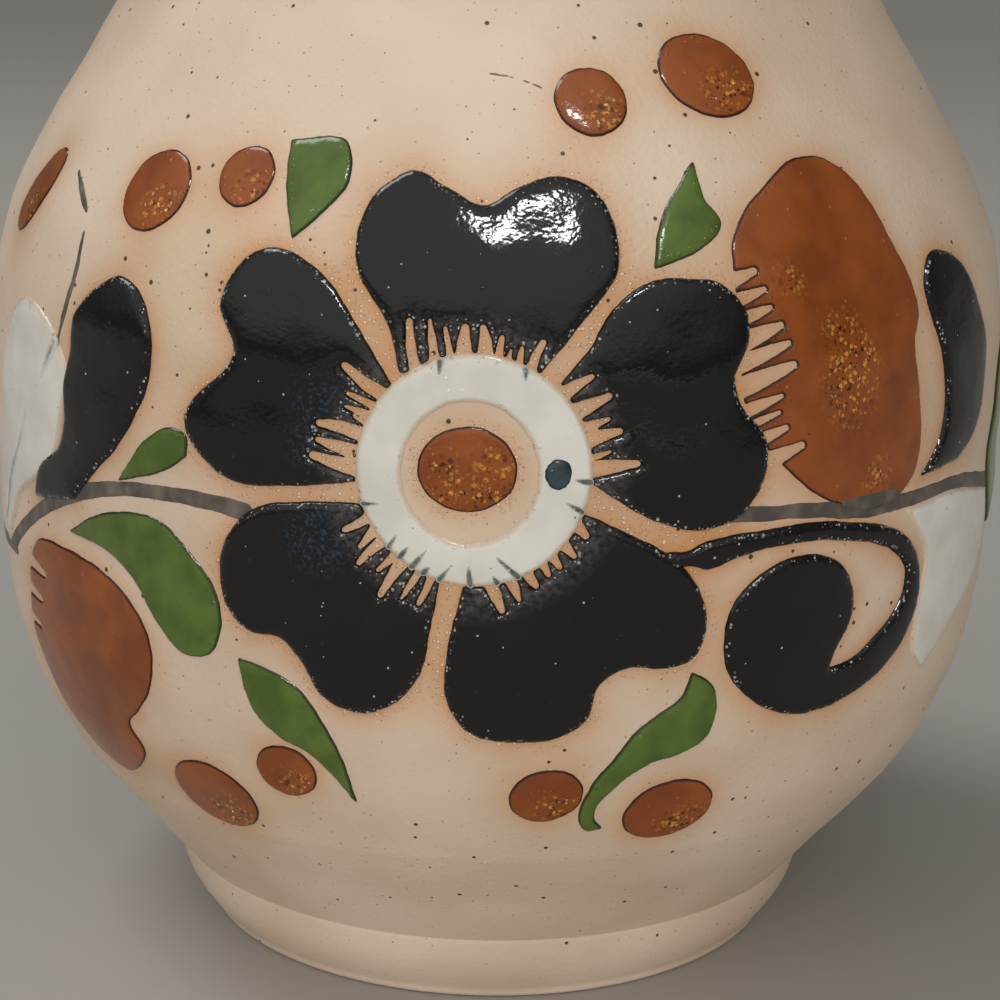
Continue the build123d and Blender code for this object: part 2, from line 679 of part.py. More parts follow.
# Green leaves, each a node of its own
leaves = {
    "upper_left_leaf": upper_left_leaf_shares,
    "upper_right_leaf": upper_right_leaf_shares,
    "small_left_leaf": small_left_leaf_shares,
    "middle_left_leaf": middle_left_leaf_shares,
    "lower_left_leaf": lower_left_leaf_shares,
    "lower_right_leaf": lower_right_leaf_shares,
    "far_right_leaf": far_right_leaf_shares,
}
touching_petals = {
    "middle_left_leaf": lower_left_petal,
}
leaf_parts = {}
for leaf_name, leaf_shares in leaves.items():
    with BuildPart() as leaf:
        with BuildSketch(mark_plane(leaf_shares)):
            add(sided_outline(leaf_shares))
        lay_on(pale_skin)
        if leaf_name in touching_petals:
            add(touching_petals[leaf_name].part, mode=Mode.SUBTRACT)
    finish(leaf, leaf_name)
    leaf_parts[leaf_name] = leaf.part

for number, place_shares in enumerate(back_leaf_place_shares, 1):
    with BuildPart() as leaf:
        with BuildSketch(mark_plane(place_shares)):
            add(sided_outline(back_leaf_shares))
        lay_on(pale_skin)
    finish(leaf, f"back_leaf_{number}")

# White flower on the back
back_plane = mark_plane(back_petal_shares)
back_petal_middle = petal_reach * (back_petal_root_share + back_petal_shares[3] / 2)
back_petals = []
for number in range(back_petal_count):
    turn = 360 * number / back_petal_count
    with BuildPart() as back_petal:
        with BuildSketch(back_plane):
            with Locations(Location((0, 0, 0), (0, 0, turn))):
                with Locations((0, back_petal_middle)):
                    add(sided_outline(back_petal_shares))
        lay_on(pale_skin)
    finish(back_petal, f"back_petal_{number + 1}")
    back_petals.append(back_petal.part)

with BuildPart() as back_eye:
    with BuildSketch(back_plane):
        add(dab(back_eye_shares))
    lay_on(brown_skin)
finish(back_eye, "back_eye")

# Back lobes repeat the left lobe's stroke
back_lobes = []
for number, place_shares in enumerate(back_lobe_place_shares, 1):
    with BuildPart() as back_lobe:
        with BuildSketch(mark_plane(place_shares)):
            add(sided_outline(left_lobe_shares))
        lay_on(dark_skin)
    finish(back_lobe, f"back_lobe_{number}")
    back_lobes.append(back_lobe.part)

# Berries: one group in front and one behind
with BuildPart() as berries:
    for berry_shares in front_berry_shares:
        with BuildSketch(mark_plane(berry_shares)):
            add(berry_outline(berry_shares))
    lay_on(brown_skin)
    add(leaf_parts["lower_right_leaf"], mode=Mode.SUBTRACT)
finish(berries, "berries")

with BuildPart() as berries_behind:
    for berry_shares in back_berry_shares:
        with BuildSketch(mark_plane(berry_shares)):
            add(berry_outline(berry_shares))
    lay_on(brown_skin)
finish(berries_behind, "back_berries")

# Stems in a thin grey wash, which stop where a thicker glaze crosses them
with BuildPart() as stem_left:
    with BuildSketch(mark_plane(left_stem_shares)):
        add(brush_line(left_stem_shares, stem_width))
    lay_on(wash_skin)
    for glaze in (lower_left_petal, left_lobe, white_bud):
        add(glaze.part, mode=Mode.SUBTRACT)
finish(stem_left, "left_stem")

with BuildPart() as stem_right:
    with BuildSketch(mark_plane(right_stem_shares)):
        add(brush_line(right_stem_shares, stem_width))
    lay_on(wash_skin)
    for glaze in (upper_right_petal, right_bud, right_lobe, white_leaf):
        add(glaze.part, mode=Mode.SUBTRACT)
    add(leaf_parts["far_right_leaf"], mode=Mode.SUBTRACT)
finish(stem_right, "right_stem")

with BuildPart() as stem_back_right:
    with BuildSketch(mark_plane(back_right_stem_shares)):
        add(brush_line(back_right_stem_shares, stem_width))
    lay_on(wash_skin)
    for glaze in [leaf_parts["far_right_leaf"], stem_right.part, *back_lobes, *back_petals]:
        add(glaze, mode=Mode.SUBTRACT)
finish(stem_back_right, "back_right_stem")

with BuildPart() as stem_back_left:
    with BuildSketch(mark_plane(back_left_stem_shares)):
        add(brush_line(back_left_stem_shares, stem_width))
    lay_on(wash_skin)
    for glaze in [stem_left.part, white_bud.part, *back_lobes, *back_petals]:
        add(glaze, mode=Mode.SUBTRACT)
finish(stem_back_left, "back_left_stem")

with BuildPart() as strokes:
    with BuildSketch(mark_plane(bud_stroke_shares)):
        add(brush_line(bud_stroke_shares, stroke_width))
    lay_on(wash_skin)
    for glaze in (white_bud, left_lobe):
        add(glaze.part, mode=Mode.SUBTRACT)
finish(strokes, "bud_strokes")
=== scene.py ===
"""Looks of a small thrown olla: bare speckled stoneware and combed flowers in raised glaze."""

import logging
from abc import ABC, abstractmethod
from dataclasses import dataclass, field, replace
from enum import Enum
from functools import cached_property
from math import asin, cos, degrees, pi, radians, sin

import bpy
import numpy as np
from mathutils import Matrix, Vector
from mathutils.geometry import delaunay_2d_cdt

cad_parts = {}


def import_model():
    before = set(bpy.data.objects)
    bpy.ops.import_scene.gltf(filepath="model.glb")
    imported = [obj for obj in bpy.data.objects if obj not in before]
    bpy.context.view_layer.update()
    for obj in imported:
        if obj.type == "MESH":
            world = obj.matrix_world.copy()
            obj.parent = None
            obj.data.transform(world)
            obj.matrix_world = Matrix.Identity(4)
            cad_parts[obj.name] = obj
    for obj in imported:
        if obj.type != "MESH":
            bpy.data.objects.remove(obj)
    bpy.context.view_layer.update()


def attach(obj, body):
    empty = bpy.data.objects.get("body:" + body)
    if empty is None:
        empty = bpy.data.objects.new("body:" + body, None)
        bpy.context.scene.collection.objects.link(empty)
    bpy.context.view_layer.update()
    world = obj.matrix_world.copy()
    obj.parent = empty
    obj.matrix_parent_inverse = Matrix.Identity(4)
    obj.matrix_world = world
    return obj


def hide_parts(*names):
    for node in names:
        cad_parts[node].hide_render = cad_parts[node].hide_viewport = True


LOG = logging.getLogger("olla")
MM = 0.001
Points = np.ndarray
Values = np.ndarray
Spot = tuple[float, float]
Line = tuple[Spot, ...]
Tips = tuple[tuple[float, float, float], ...]
Edges = list[tuple[int, int]]
Socket = bpy.types.NodeSocket


def linear(code: str) -> tuple[float, float, float, float]:
    """Turn an sRGB hex colour to a linear one.

    Args:
        code: Colour such as "#C8B79F".

    Returns:
        Linear red, green, blue and an alpha of 1.
    """
    parts = [int(code[k : k + 2], 16) / 255 for k in (1, 3, 5)]
    light = [c / 12.92 if c <= 0.04045 else ((c + 0.055) / 1.055) ** 2.4 for c in parts]
    return (light[0], light[1], light[2], 1.0)


def per(size_mm: float) -> float:
    """Texture scale at which one feature measures this many millimetres."""
    return 1 / (size_mm * MM)


def toward(azimuth: float, elevation: float) -> Vector:
    """Direction from the pot, in degrees from -Y towards +X and above the floor."""
    a, e = radians(azimuth), radians(elevation)
    return Vector((sin(a) * cos(e), -cos(a) * cos(e), sin(e)))


def around(azimuth: Values, radius: Values, height: Values) -> Points:
    """Points in metres round the pot's axis, from radians and millimetres."""
    across, along = radius * np.sin(azimuth), -radius * np.cos(azimuth)
    return MM * np.stack(np.broadcast_arrays(across, along, height), 1)


def add_node(
    tree: bpy.types.NodeTree, kind: str, settings: dict | None = None, links: dict | None = None,
    output: str | int = 0,
) -> Socket:
    """Add a shader node with its settings and links.

    Args:
        tree: Node tree that gets the node.
        kind: Blender's name for the node's type, without "ShaderNode".
        settings: Values by the name of a property, or by the name or number of an input.
        links: Output sockets by the name or number of the input that they feed.
        output: Name or number of the output that is wanted.

    Returns:
        That output socket.
    """
    node = tree.nodes.new("ShaderNode" + kind)
    for name, value in (settings or {}).items():
        if isinstance(name, str) and hasattr(node, name):
            setattr(node, name, value)
        else:
            node.inputs[name].default_value = value
    for name, socket in (links or {}).items():
        tree.links.new(socket, node.inputs[name])
    return node.outputs[output]


# Drawing, in millimetres


def smooth_line(points: Line, closed: bool = False, steps: int = 8) -> Points:
    """Run a smooth line through some points.

    Args:
        points: Points that the line passes through.
        closed: Whether the line comes back to its start.
        steps: Pieces between two neighbouring points.

    Returns:
        Points along the line.
    """
    base = np.array(points, float)
    if len(base) < 3:
        return np.linspace(base[0], base[1], steps + 1)
    if closed:
        ring = np.vstack([base[-1], base, base[0], base[1]])
    else:
        ring = np.vstack([2 * base[0] - base[1], base, 2 * base[-1] - base[-2]])
    # Each stretch mixes its four points in pairs, then the mixes, over times that grow
    # with the root of the points' distance
    rounds = (((0, 1), (1, 2), (2, 3)), ((0, 2), (1, 3)), ((1, 2),))
    line = []
    for first in range(len(ring) - 3):
        mixes = list(ring[first : first + 4])
        gaps = [max(np.hypot(*(b - a)), 1e-6) ** 0.5 for a, b in zip(mixes, mixes[1:])]
        times = np.cumsum([0, *gaps])
        now = np.linspace(times[1], times[2], steps, endpoint=False)[:, None]
        for spans in rounds:
            shares = [(now - times[a]) / (times[b] - times[a]) for a, b in spans]
            mixes = [a * (1 - s) + b * s for s, a, b in zip(shares, mixes, mixes[1:])]
        line.append(mixes[0])
    return np.vstack(line if closed else [*line, base[-1]])


def scaled(line: Line, width: float, length: float) -> Line:
    """Points of a line that is drawn in hundredths of its width and length."""
    return tuple((width * (x / 100), length * (y / 100)) for x, y in line)


def heading(angle: float) -> Points:
    """Direction on a drawing plane, in degrees counter-clockwise from its right."""
    return np.array([cos(radians(angle)), sin(radians(angle))])


BATCH = 3000
TINY = 1e-12


def nearest(points: Points, starts: Points, ends: Points) -> tuple[Values, Values]:
    """Find how far points lie from the nearest of some straight segments.

    Args:
        points: Points to measure from.
        starts: Start of each segment.
        ends: End of each segment.

    Returns:
        The distances, and the place along the segments, counted in segments.
    """
    gaps, places = [], []
    along = ends - starts
    lengths = np.maximum((along**2).sum(1), TINY)
    for first in range(0, len(points), BATCH):
        away = points[first : first + BATCH, None] - starts
        share = np.clip((away * along).sum(2) / lengths, 0, 1)
        gap = np.hypot(
            away[..., 0] - share * along[:, 0], away[..., 1] - share * along[:, 1]
        )
        best = gap.argmin(1)
        rows = np.arange(len(best))
        gaps.append(gap[rows, best])
        places.append(best + share[rows, best])
    return np.concatenate(gaps), np.concatenate(places)


def within(points: Points, starts: Points, ends: Points) -> Values:
    """Tell which points lie inside the closed loops that some segments make.

    Args:
        points: Points to test.
        starts: Start of each segment.
        ends: End of each segment.

    Returns:
        True for each point that lies inside.
    """
    inside = np.zeros(len(points), bool)
    rise = ends[:, 1] - starts[:, 1]
    rise = np.where(np.abs(rise) < TINY, TINY, rise)
    for first in range(0, len(points), BATCH):
        x, y = (points[first : first + BATCH, k, None] for k in (0, 1))
        crosses = (starts[:, 1] > y) != (ends[:, 1] > y)
        at = starts[:, 0] + (y - starts[:, 1]) / rise * (ends[:, 0] - starts[:, 0])
        inside[first : first + BATCH] = (crosses & (x < at)).sum(1) % 2 == 1
    return inside


def rounded_max(first: Values, second: Values, round_mm: float) -> Values:
    """Larger of two distances, with the corner between them rounded off."""
    share = np.clip(0.5 + 0.5 * (first - second) / round_mm, 0, 1)
    return second + (first - second) * share + round_mm * share * (1 - share)


def counter_clockwise(spots: Points, corners: Values) -> tuple[Values, Values]:
    """Turn triangles of a plane so that their corners run counter-clockwise.

    Args:
        spots: Points of the plane.
        corners: Three point numbers for each triangle.

    Returns:
        The turned triangles, and twice the area of each, negative where it was turned.
    """
    a, b, c = (spots[corners[:, k]] for k in range(3))
    area = (b[:, 0] - a[:, 0]) * (c[:, 1] - a[:, 1]) - (b[:, 1] - a[:, 1]) * (c[:, 0] - a[:, 0])
    turned = np.where((area < 0)[:, None], corners[:, ::-1], corners)
    return turned, area


def open_edges(faces: list[list[int]]) -> Edges:
    """Edges that only one face has, each in that face's direction."""
    edges = dict.fromkeys(edge for face in faces for edge in zip(face, face[1:] + face[:1]))
    return [(a, b) for a, b in edges if (b, a) not in edges]


class Shape(ABC):
    """Region of a drawing plane, measured by its distance: negative inside."""

    @abstractmethod
    def distance(self, points: Points) -> Values:
        """Distance from each point to the region's edge, negative inside."""

    @abstractmethod
    def box(self) -> tuple[Points, Points]:
        """Lowest and highest corner of the region."""


@dataclass(frozen=True, eq=False)
class Outline(Shape):
    """Region inside a closed line."""

    line: Points

    def distance(self, points: Points) -> Values:
        """Distance to the line, negative inside it."""
        ends = np.roll(self.line, -1, axis=0)
        return nearest(points, self.line, ends)[0] * (1 - 2 * within(points, self.line, ends))

    def box(self) -> tuple[Points, Points]:
        """Corners of the line."""
        return self.line.min(0), self.line.max(0)


@dataclass(frozen=True, eq=False)
class Stroke(Shape):
    """Region that a brush or a comb's tooth covers along a line.

    Attributes:
        line: Points that the tool follows.
        widths: Widths of the stroke, evenly spread along it.
    """

    line: Points
    widths: tuple[float, ...]

    def distance(self, points: Points) -> Values:
        """Distance to the stroke's edge.

        Args:
            points: Places on the plane.

        Returns:
            Their distances, negative under the tool.
        """
        gap, place = nearest(points, self.line[:-1], self.line[1:])
        steps = np.linspace(0, len(self.line) - 1, len(self.widths))
        return gap - np.interp(place, steps, self.widths) / 2

    def box(self) -> tuple[Points, Points]:
        """Corners of the stroke."""
        half = max(self.widths) / 2
        return self.line.min(0) - half, self.line.max(0) + half


@dataclass(frozen=True, eq=False)
class Oval(Shape):
    """Oval dab.

    Attributes:
        center: Middle of the dab.
        width: Its size across.
        length: Its size up.
        tilt: Turn in degrees, counter-clockwise.
    """

    center: Spot
    width: float
    length: float
    tilt: float = 0.0

    def distance(self, points: Points) -> Values:
        """Distance to the oval, which is true close to its edge.

        Args:
            points: Places on the plane.

        Returns:
            Their distances, negative inside the oval.
        """
        x, y = (points - np.array(self.center)).T
        turn = radians(self.tilt)
        u = (x * cos(turn) + y * sin(turn)) / (self.width / 2)
        v = (y * cos(turn) - x * sin(turn)) / (self.length / 2)
        reach = np.hypot(u, v)
        steep = np.hypot(u / (self.width / 2), v / (self.length / 2))
        return reach * (reach - 1) / np.maximum(steep, 1e-6)

    def box(self) -> tuple[Points, Points]:
        """Corners of a square round the oval."""
        half = max(self.width, self.length) / 2
        return np.array(self.center) - half, np.array(self.center) + half


@dataclass(frozen=True, eq=False)
class Cut(Shape):
    """Region with others cut out of it.

    Attributes:
        base: Region that is cut.
        tools: Regions that are taken away.
        soft: Radius to which glaze draws back at the new corners.
    """

    base: Shape
    tools: tuple[Shape, ...]
    soft: float

    def distance(self, points: Points) -> Values:
        """Distance to the edge that is left.

        Args:
            points: Places on the plane.

        Returns:
            Their distances, negative where the region is left.
        """
        gap = self.base.distance(points)
        for tool in self.tools:
            gap = rounded_max(gap, -tool.distance(points), self.soft)
        return gap

    def box(self) -> tuple[Points, Points]:
        """Corners of the base region."""
        return self.base.box()


@dataclass(frozen=True, eq=False)
class Joined(Shape):
    """Several regions as one."""

    regions: tuple[Shape, ...]

    def distance(self, points: Points) -> Values:
        """Distance to the nearest region."""
        return np.min([region.distance(points) for region in self.regions], axis=0)

    def box(self) -> tuple[Points, Points]:
        """Corners round all the regions."""
        low, high = zip(*(region.box() for region in self.regions))
        return np.min(low, axis=0), np.max(high, axis=0)


@dataclass(frozen=True, eq=False)
class Field:
    """Distances of a region, read on an even grid.

    Attributes:
        shape: The region.
        pitch: Grid step in millimetres.
        margin: Room round the region in millimetres.
        wobble: How far a hand-drawn edge wanders, in millimetres.
        waves: Waves of that wander: height, turns across and up in radians for each
            millimetre, and start in radians.
    """

    shape: Shape
    pitch: float
    margin: float = 3.2
    wobble: float = 0.05
    waves: tuple[tuple[float, float, float, float], ...] = (
        (1.0, 2.3, 1.1, 0.7), (1.0, -1.7, 4.1, 0.0), (0.6, 7.3, 3.9, 2.0), (0.4, -6.7, 9.1, 0.5))

    @cached_property
    def low(self) -> Points:
        """Lowest corner of the grid."""
        return self.shape.box()[0] - self.margin

    @cached_property
    def values(self) -> Values:
        """Distances on the grid.

        Returns:
            One row for each step across.
        """
        high = self.shape.box()[1] + self.margin
        counts = np.ceil((high - self.low) / self.pitch).astype(int) + 1
        x, y = np.meshgrid(*(np.arange(n) * self.pitch for n in counts), indexing="ij")
        points = np.stack([x.ravel(), y.ravel()], 1) + self.low
        wander = sum(
            size * np.sin(across * points[:, 0] + up * points[:, 1] + start)
            for size, across, up, start in self.waves
        )
        gap = self.shape.distance(points) + self.wobble * wander / 3
        return gap.reshape(x.shape)

    def sample(self, points: Points) -> Values:
        """Read the distance at any point.

        Args:
            points: Places on the plane.

        Returns:
            Their distances, and the margin for those outside the grid.
        """
        spot = (points - self.low) / self.pitch
        limit = np.array(self.values.shape) - 1.001
        far = ((spot < 0) | (spot > limit)).any(1)
        spot = np.clip(spot, 0, limit)
        cell = spot.astype(int)
        u, v = (spot - cell).T
        i, j = cell.T
        grid = self.values
        gap = (
            grid[i, j] * (1 - u) * (1 - v)
            + grid[i + 1, j] * u * (1 - v)
            + grid[i, j + 1] * (1 - u) * v
            + grid[i + 1, j + 1] * u * v
        )
        return np.where(far, self.margin, gap)

    def inward(self, points: Points) -> Points:
        """Find the way into the region.

        Args:
            points: Places on its edge.

        Returns:
            At each place the direction away from the edge, with a length of 1.
        """
        sides = np.eye(2) * self.pitch
        slope = np.stack([self.sample(points + s) - self.sample(points - s) for s in sides], 1)
        return -slope / np.maximum(np.hypot(*slope.T), 1e-9)[:, None]

    def edges(self) -> list[Points]:
        """Trace the closed lines where the distance is zero.

        Returns:
            The lines, without crumbs of eight points or less.
        """
        grid = self.values
        spots: dict[tuple[int, int, int], Spot] = {}
        for axis in (0, 1):
            near = grid[:-1] if axis == 0 else grid[:, :-1]
            far = grid[1:] if axis == 0 else grid[:, 1:]
            for i, j in np.argwhere((near < 0) != (far < 0)):
                share = near[i, j] / (near[i, j] - far[i, j])
                spot = (i + share, j) if axis == 0 else (i, j + share)
                spots[(axis, int(i), int(j))] = spot
        links: dict[tuple[int, int, int], list[tuple[int, int, int]]] = {}
        inside = grid < 0
        count = (
            inside[:-1, :-1].astype(int) + inside[1:, :-1] + inside[:-1, 1:] + inside[1:, 1:]
        )
        for i, j in np.argwhere((count > 0) & (count < 4)).tolist():
            sides = [(0, i, j), (1, i + 1, j), (0, i, j + 1), (1, i, j)]
            met = [side for side in sides if side in spots]
            if len(met) == 2:
                pairs = [met]
            elif inside[i, j]:
                pairs = [[sides[0], sides[3]], [sides[2], sides[1]]]
            else:
                pairs = [[sides[0], sides[1]], [sides[2], sides[3]]]
            for a, b in pairs:
                links.setdefault(a, []).append(b)
                links.setdefault(b, []).append(a)
        loops = []
        while links:
            here, last, loop = next(iter(links)), None, []
            while here in links:
                loop.append(here)
                onward = [side for side in links.pop(here) if side != last]
                last, here = here, onward[0]
            loops.append(np.array([spots[s] for s in loop]) * self.pitch + self.low)
        return [loop for loop in loops if len(loop) > 8]


def evenly(loop: Points, step: float) -> Points:
    """Set the points of a closed line an even step apart.

    Args:
        loop: Points of the line.
        step: Distance between the new points, more or less.

    Returns:
        The new points, six or more.
    """
    ring = np.vstack([loop, loop[:1]])
    run = np.concatenate([[0], np.cumsum(np.hypot(*np.diff(ring, axis=0).T))])
    count = max(6, int(round(run[-1] / step)))
    at = np.arange(count) * run[-1] / count
    return np.stack([np.interp(at, run, ring[:, k]) for k in (0, 1)], 1)


# The thrown wall


@dataclass(frozen=True)
class Wall:
    """Outer face of the thrown pot, drawn with tangent arcs.

    Lengths are millimetres and angles are degrees. A curve is the radius of an arc in the
    section, a turn is the angle on it where the next one takes over, and the lean is that
    of the straight rise to the neck. The rings, of two sizes, are the throwing rings.
    """

    belly_radius: float = 40.0
    widest_height: float = 42.5
    belly_curve: float = 150.0
    lower_curve: float = 31.4
    shoulder_curve: float = 27.8
    lower_turn: float = 4.5
    shoulder_turn: float = 3.0
    trim_turn: float = 33.4
    shoulder_lean: float = 31.2
    thickness: float = 3.6
    foot_height: float = 6.0
    floor_height: float = 10.2
    floor_turn: float = 6.0
    crease_radius: float = 26.3
    throat_radius: float = 22.0
    neck_curve: float = 12.0
    neck_flare: float = 40.0
    lip_turn: float = 3.0
    lip_radius: float = 2.4
    step: float = 0.45
    ring_pitches: tuple[float, float] = (6.3, 10.7)
    ring_depths: tuple[float, float] = (0.045, 0.03)
    oval_depth: float = 0.08
    corner_depth: float = 0.05
    even_height: float = 6.0

    @staticmethod
    def turned(center: Spot, radius: float, angle: float) -> Spot:
        """Point of a circle in the section, its angle in degrees above outwards."""
        turn = radians(angle)
        return (center[0] + radius * cos(turn), center[1] + radius * sin(turn))

    @cached_property
    def belly_center(self) -> Spot:
        """Centre of the belly's arc."""
        return (self.belly_radius - self.belly_curve, self.widest_height)

    @cached_property
    def lower_center(self) -> Spot:
        """Centre of the arc below the belly."""
        reach = self.belly_curve - self.lower_curve
        return self.turned(self.belly_center, reach, -self.lower_turn)

    @cached_property
    def shoulder_center(self) -> Spot:
        """Centre of the shoulder's arc."""
        reach = self.belly_curve - self.shoulder_curve
        return self.turned(self.belly_center, reach, self.shoulder_turn)

    @cached_property
    def neck_center(self) -> Spot:
        """Find the centre of the neck's hollow arc, which the straight rise touches.

        Returns:
            Its radius and height.
        """
        end = self.turned(self.shoulder_center, self.shoulder_curve, self.shoulder_lean)
        radius = self.throat_radius + self.neck_curve
        lean = radians(self.shoulder_lean)
        height = end[1] + (self.neck_curve - (radius - end[0]) * cos(lean)) / sin(lean)
        return (radius, height)

    def arc(
        self, center: Spot, radius: float, start: float, end: float, step: float
    ) -> list[Spot]:
        """Points of an arc between two angles in degrees, a step apart."""
        count = max(2, int(abs(radians(end - start)) * abs(radius) / step) + 1)
        return [self.turned(center, radius, a) for a in np.linspace(start, end, count)]

    @staticmethod
    def straight(start: Spot, end: Spot, step: float) -> Points:
        """Points of a straight stretch with both its ends, a step apart at most."""
        shares = np.linspace(0, 1, int(np.hypot(*np.subtract(end, start)) / step) + 2)[:, None]
        return np.array(start) * (1 - shares) + np.array(end) * shares

    def line(self, inset: float, step: float) -> Points:
        """Wall's line from its trimmed foot to its lip, moved inwards.

        Args:
            inset: How far inside the outer face it lies.
            step: Distance between points.

        Returns:
            Radius and height of each point.
        """
        first = -self.trim_turn
        if inset:
            low = (self.lower_center[1] - self.floor_height) / (self.lower_curve - inset)
            first = -degrees(asin(low)) + self.floor_turn
        points = self.arc(
            self.lower_center, self.lower_curve - inset, first, -self.lower_turn, step
        )
        for center, curve, start, end in (
            (self.belly_center, self.belly_curve, -self.lower_turn, self.shoulder_turn),
            (self.shoulder_center, self.shoulder_curve, self.shoulder_turn, self.shoulder_lean),
        ):
            points += self.arc(center, curve - inset, start, end, step)[1:]
        neck = self.arc(
            self.neck_center, self.neck_curve + inset, 180 + self.shoulder_lean,
            180 - self.neck_flare + self.lip_turn, step,
        )
        return np.vstack([points, self.straight(points[-1], neck[0], step)[1:-1], neck])

    @cached_property
    def outer(self) -> Points:
        """Outer line from the crease above the foot to the lip.

        Returns:
            Radius and height of each point.
        """
        line = self.line(0, self.step)
        crease = (self.crease_radius, self.foot_height)
        return np.vstack([self.straight(crease, line[0], self.step)[:-1], line])

    def radius(self, height: Values) -> Values:
        """Radius of the outer face at some heights."""
        return np.interp(height, self.outer[:, 1], self.outer[:, 0])

    def unevenness(self, azimuth: Values, height: Values) -> Values:
        """Small wander of a hand-thrown wall: soft throwing rings and a faint oval.

        Args:
            azimuth: Radians from -Y towards +X.
            height: Millimetres above the foot's face.

        Returns:
            How far the wall stands out at each place, in millimetres.
        """
        grown = np.clip((height - self.foot_height) / self.even_height, 0, 1)
        close, wide = (height * 2 * pi / pitch for pitch in self.ring_pitches)
        rings = self.ring_depths[0] * np.sin(close + azimuth + 0.4)
        rings += self.ring_depths[1] * np.sin(wide - 0.6 * np.sin(azimuth))
        oval = self.oval_depth * np.sin(2 * azimuth + 0.9)
        oval += self.corner_depth * np.sin(3 * azimuth - 0.4)
        return grown * (rings + oval)

    def place(self, azimuth: Values, height: Values, lift: Values) -> Points:
        """Put points on the wall.

        Args:
            azimuth: Radians from -Y towards +X.
            height: Millimetres above the foot's face.
            lift: Millimetres off the clay, along its normal.

        Returns:
            Points in metres.
        """
        beside = 0.2
        slope = (self.radius(height + beside) - self.radius(height - beside)) / (2 * beside)
        size = np.sqrt(1 + slope**2)
        radius = self.radius(height) + self.unevenness(azimuth, height) + lift / size
        return around(azimuth, radius, height - lift * slope / size)


# Finishes


class Slot(Enum):
    """Material slots of the record."""

    CLAY = "clay"
    DARK = "dark_glaze"
    BROWN = "brown_glaze"
    GREEN = "green_glaze"
    WHITE = "white_glaze"
    TEAL = "teal_glaze"
    WASH = "grey_wash"


class Grain(Enum):
    """Kinds of mark in a surface, each with the width of its edge as a share of its radius."""

    SPECK = 0.18
    PIT = 0.9


class Recipe:
    """Shader nodes of one finish, with the patterns that fired surfaces share.

    Attributes:
        shader: Shader that the tree ends in.
        place: Socket with the place on the piece, in metres.
    """

    def __init__(self, name: str) -> None:
        """Start a material.

        Args:
            name: Name of the material.
        """
        self.material = bpy.data.materials.new(name)
        self.material.use_nodes = True
        self.tree = self.material.node_tree
        self.shader = self.tree.nodes["Principled BSDF"]
        self.place = add_node(self.tree, "TexCoord", output="Object")

    def tinted(self, color: str | Socket, *coats: tuple[Socket, str]) -> Socket:
        """Lay tints over a colour, one after the other.

        Args:
            color: Hex colour, or a socket.
            coats: Share of each tint, as a socket, and its hex colour.

        Returns:
            Socket of the colour that they give.
        """
        for share, tint in coats:
            settings, links = {"data_type": "RGBA", 7: linear(tint)}, {0: share}
            if isinstance(color, str):
                settings[6] = linear(color)
            else:
                links[6] = color
            color = add_node(self.tree, "Mix", settings, links, output=2)
        return color

    def clouds(self, size_mm: float, low: float, high: float, detail: float = 3.0) -> Socket:
        """Soft patches of a real size.

        Args:
            size_mm: Size of one patch.
            low: Noise value that gives 0.
            high: Noise value that gives 1.
            detail: How many finer layers the patches have.

        Returns:
            Socket that goes from 0 to 1.
        """
        noise = add_node(
            self.tree, "TexNoise", {"Scale": per(size_mm), "Detail": detail},
            {"Vector": self.place},
        )
        ends = {"From Min": low, "From Max": high}
        return add_node(self.tree, "MapRange", ends, {"Value": noise})

    def dots(
        self, spacing_mm: float, radius_mm: float, share: float, kind: Grain = Grain.SPECK,
        place: Socket | None = None,
    ) -> Socket:
        """Scattered round marks of a real size.

        Args:
            spacing_mm: Mean distance between places for a mark.
            radius_mm: Largest radius of a mark.
            share: Share of those places that hold one.
            kind: Kind of mark.
            place: Socket with the place that they are drawn from, where it isn't the piece's.

        Returns:
            Socket that is 1 in the middle of a mark and 0 away from it.
        """
        cells = add_node(
            self.tree, "TexVoronoi", {"Scale": per(spacing_mm)}, {"Vector": place or self.place}
        )
        pick = add_node(self.tree, "SeparateColor", links={0: cells.node.outputs["Color"]})
        radius = radius_mm / spacing_mm
        size = add_node(
            self.tree, "MapRange", {"From Min": 1 - share, "To Max": radius}, {"Value": pick}
        )
        near = add_node(self.tree, "Math", {"operation": "SUBTRACT"}, {0: size, 1: cells})
        soft = kind.value * radius_mm / spacing_mm
        return add_node(self.tree, "MapRange", {"From Max": soft}, {"Value": near})

    def complete(self, color: Socket, layers: list[tuple[Socket, float]]) -> None:
        """Give the surface its colour and its fine relief, at the index of fired glass.

        Args:
            color: Socket of the colour.
            layers: Height sockets, each with what 1 stands for in millimetres.
        """
        self.tree.links.new(color, self.shader.inputs["Base Color"])
        self.shader.inputs["IOR"].default_value = 1.5
        below: dict[str, Socket] = {}
        for height, size_mm in layers:
            below = {"Normal": add_node(
                self.tree, "Bump", {"Strength": 1.0, "Distance": size_mm * MM},
                {"Height": height, **below},
            )}
        self.tree.links.new(below["Normal"], self.shader.inputs["Normal"])


@dataclass(frozen=True)
class Finish(ABC):
    """A fired surface.

    Attributes:
        slot: Slot of the record that it stands for.
        name: Name of its material.
    """

    slot: Slot
    name: str

    @abstractmethod
    def build(self, recipe: Recipe) -> None:
        """Add the finish's nodes to a recipe."""

    @cached_property
    def material(self) -> bpy.types.Material:
        """Make the finish's material, which happens once.

        Returns:
            The material.
        """
        recipe = Recipe(self.name)
        self.build(recipe)
        return recipe.material


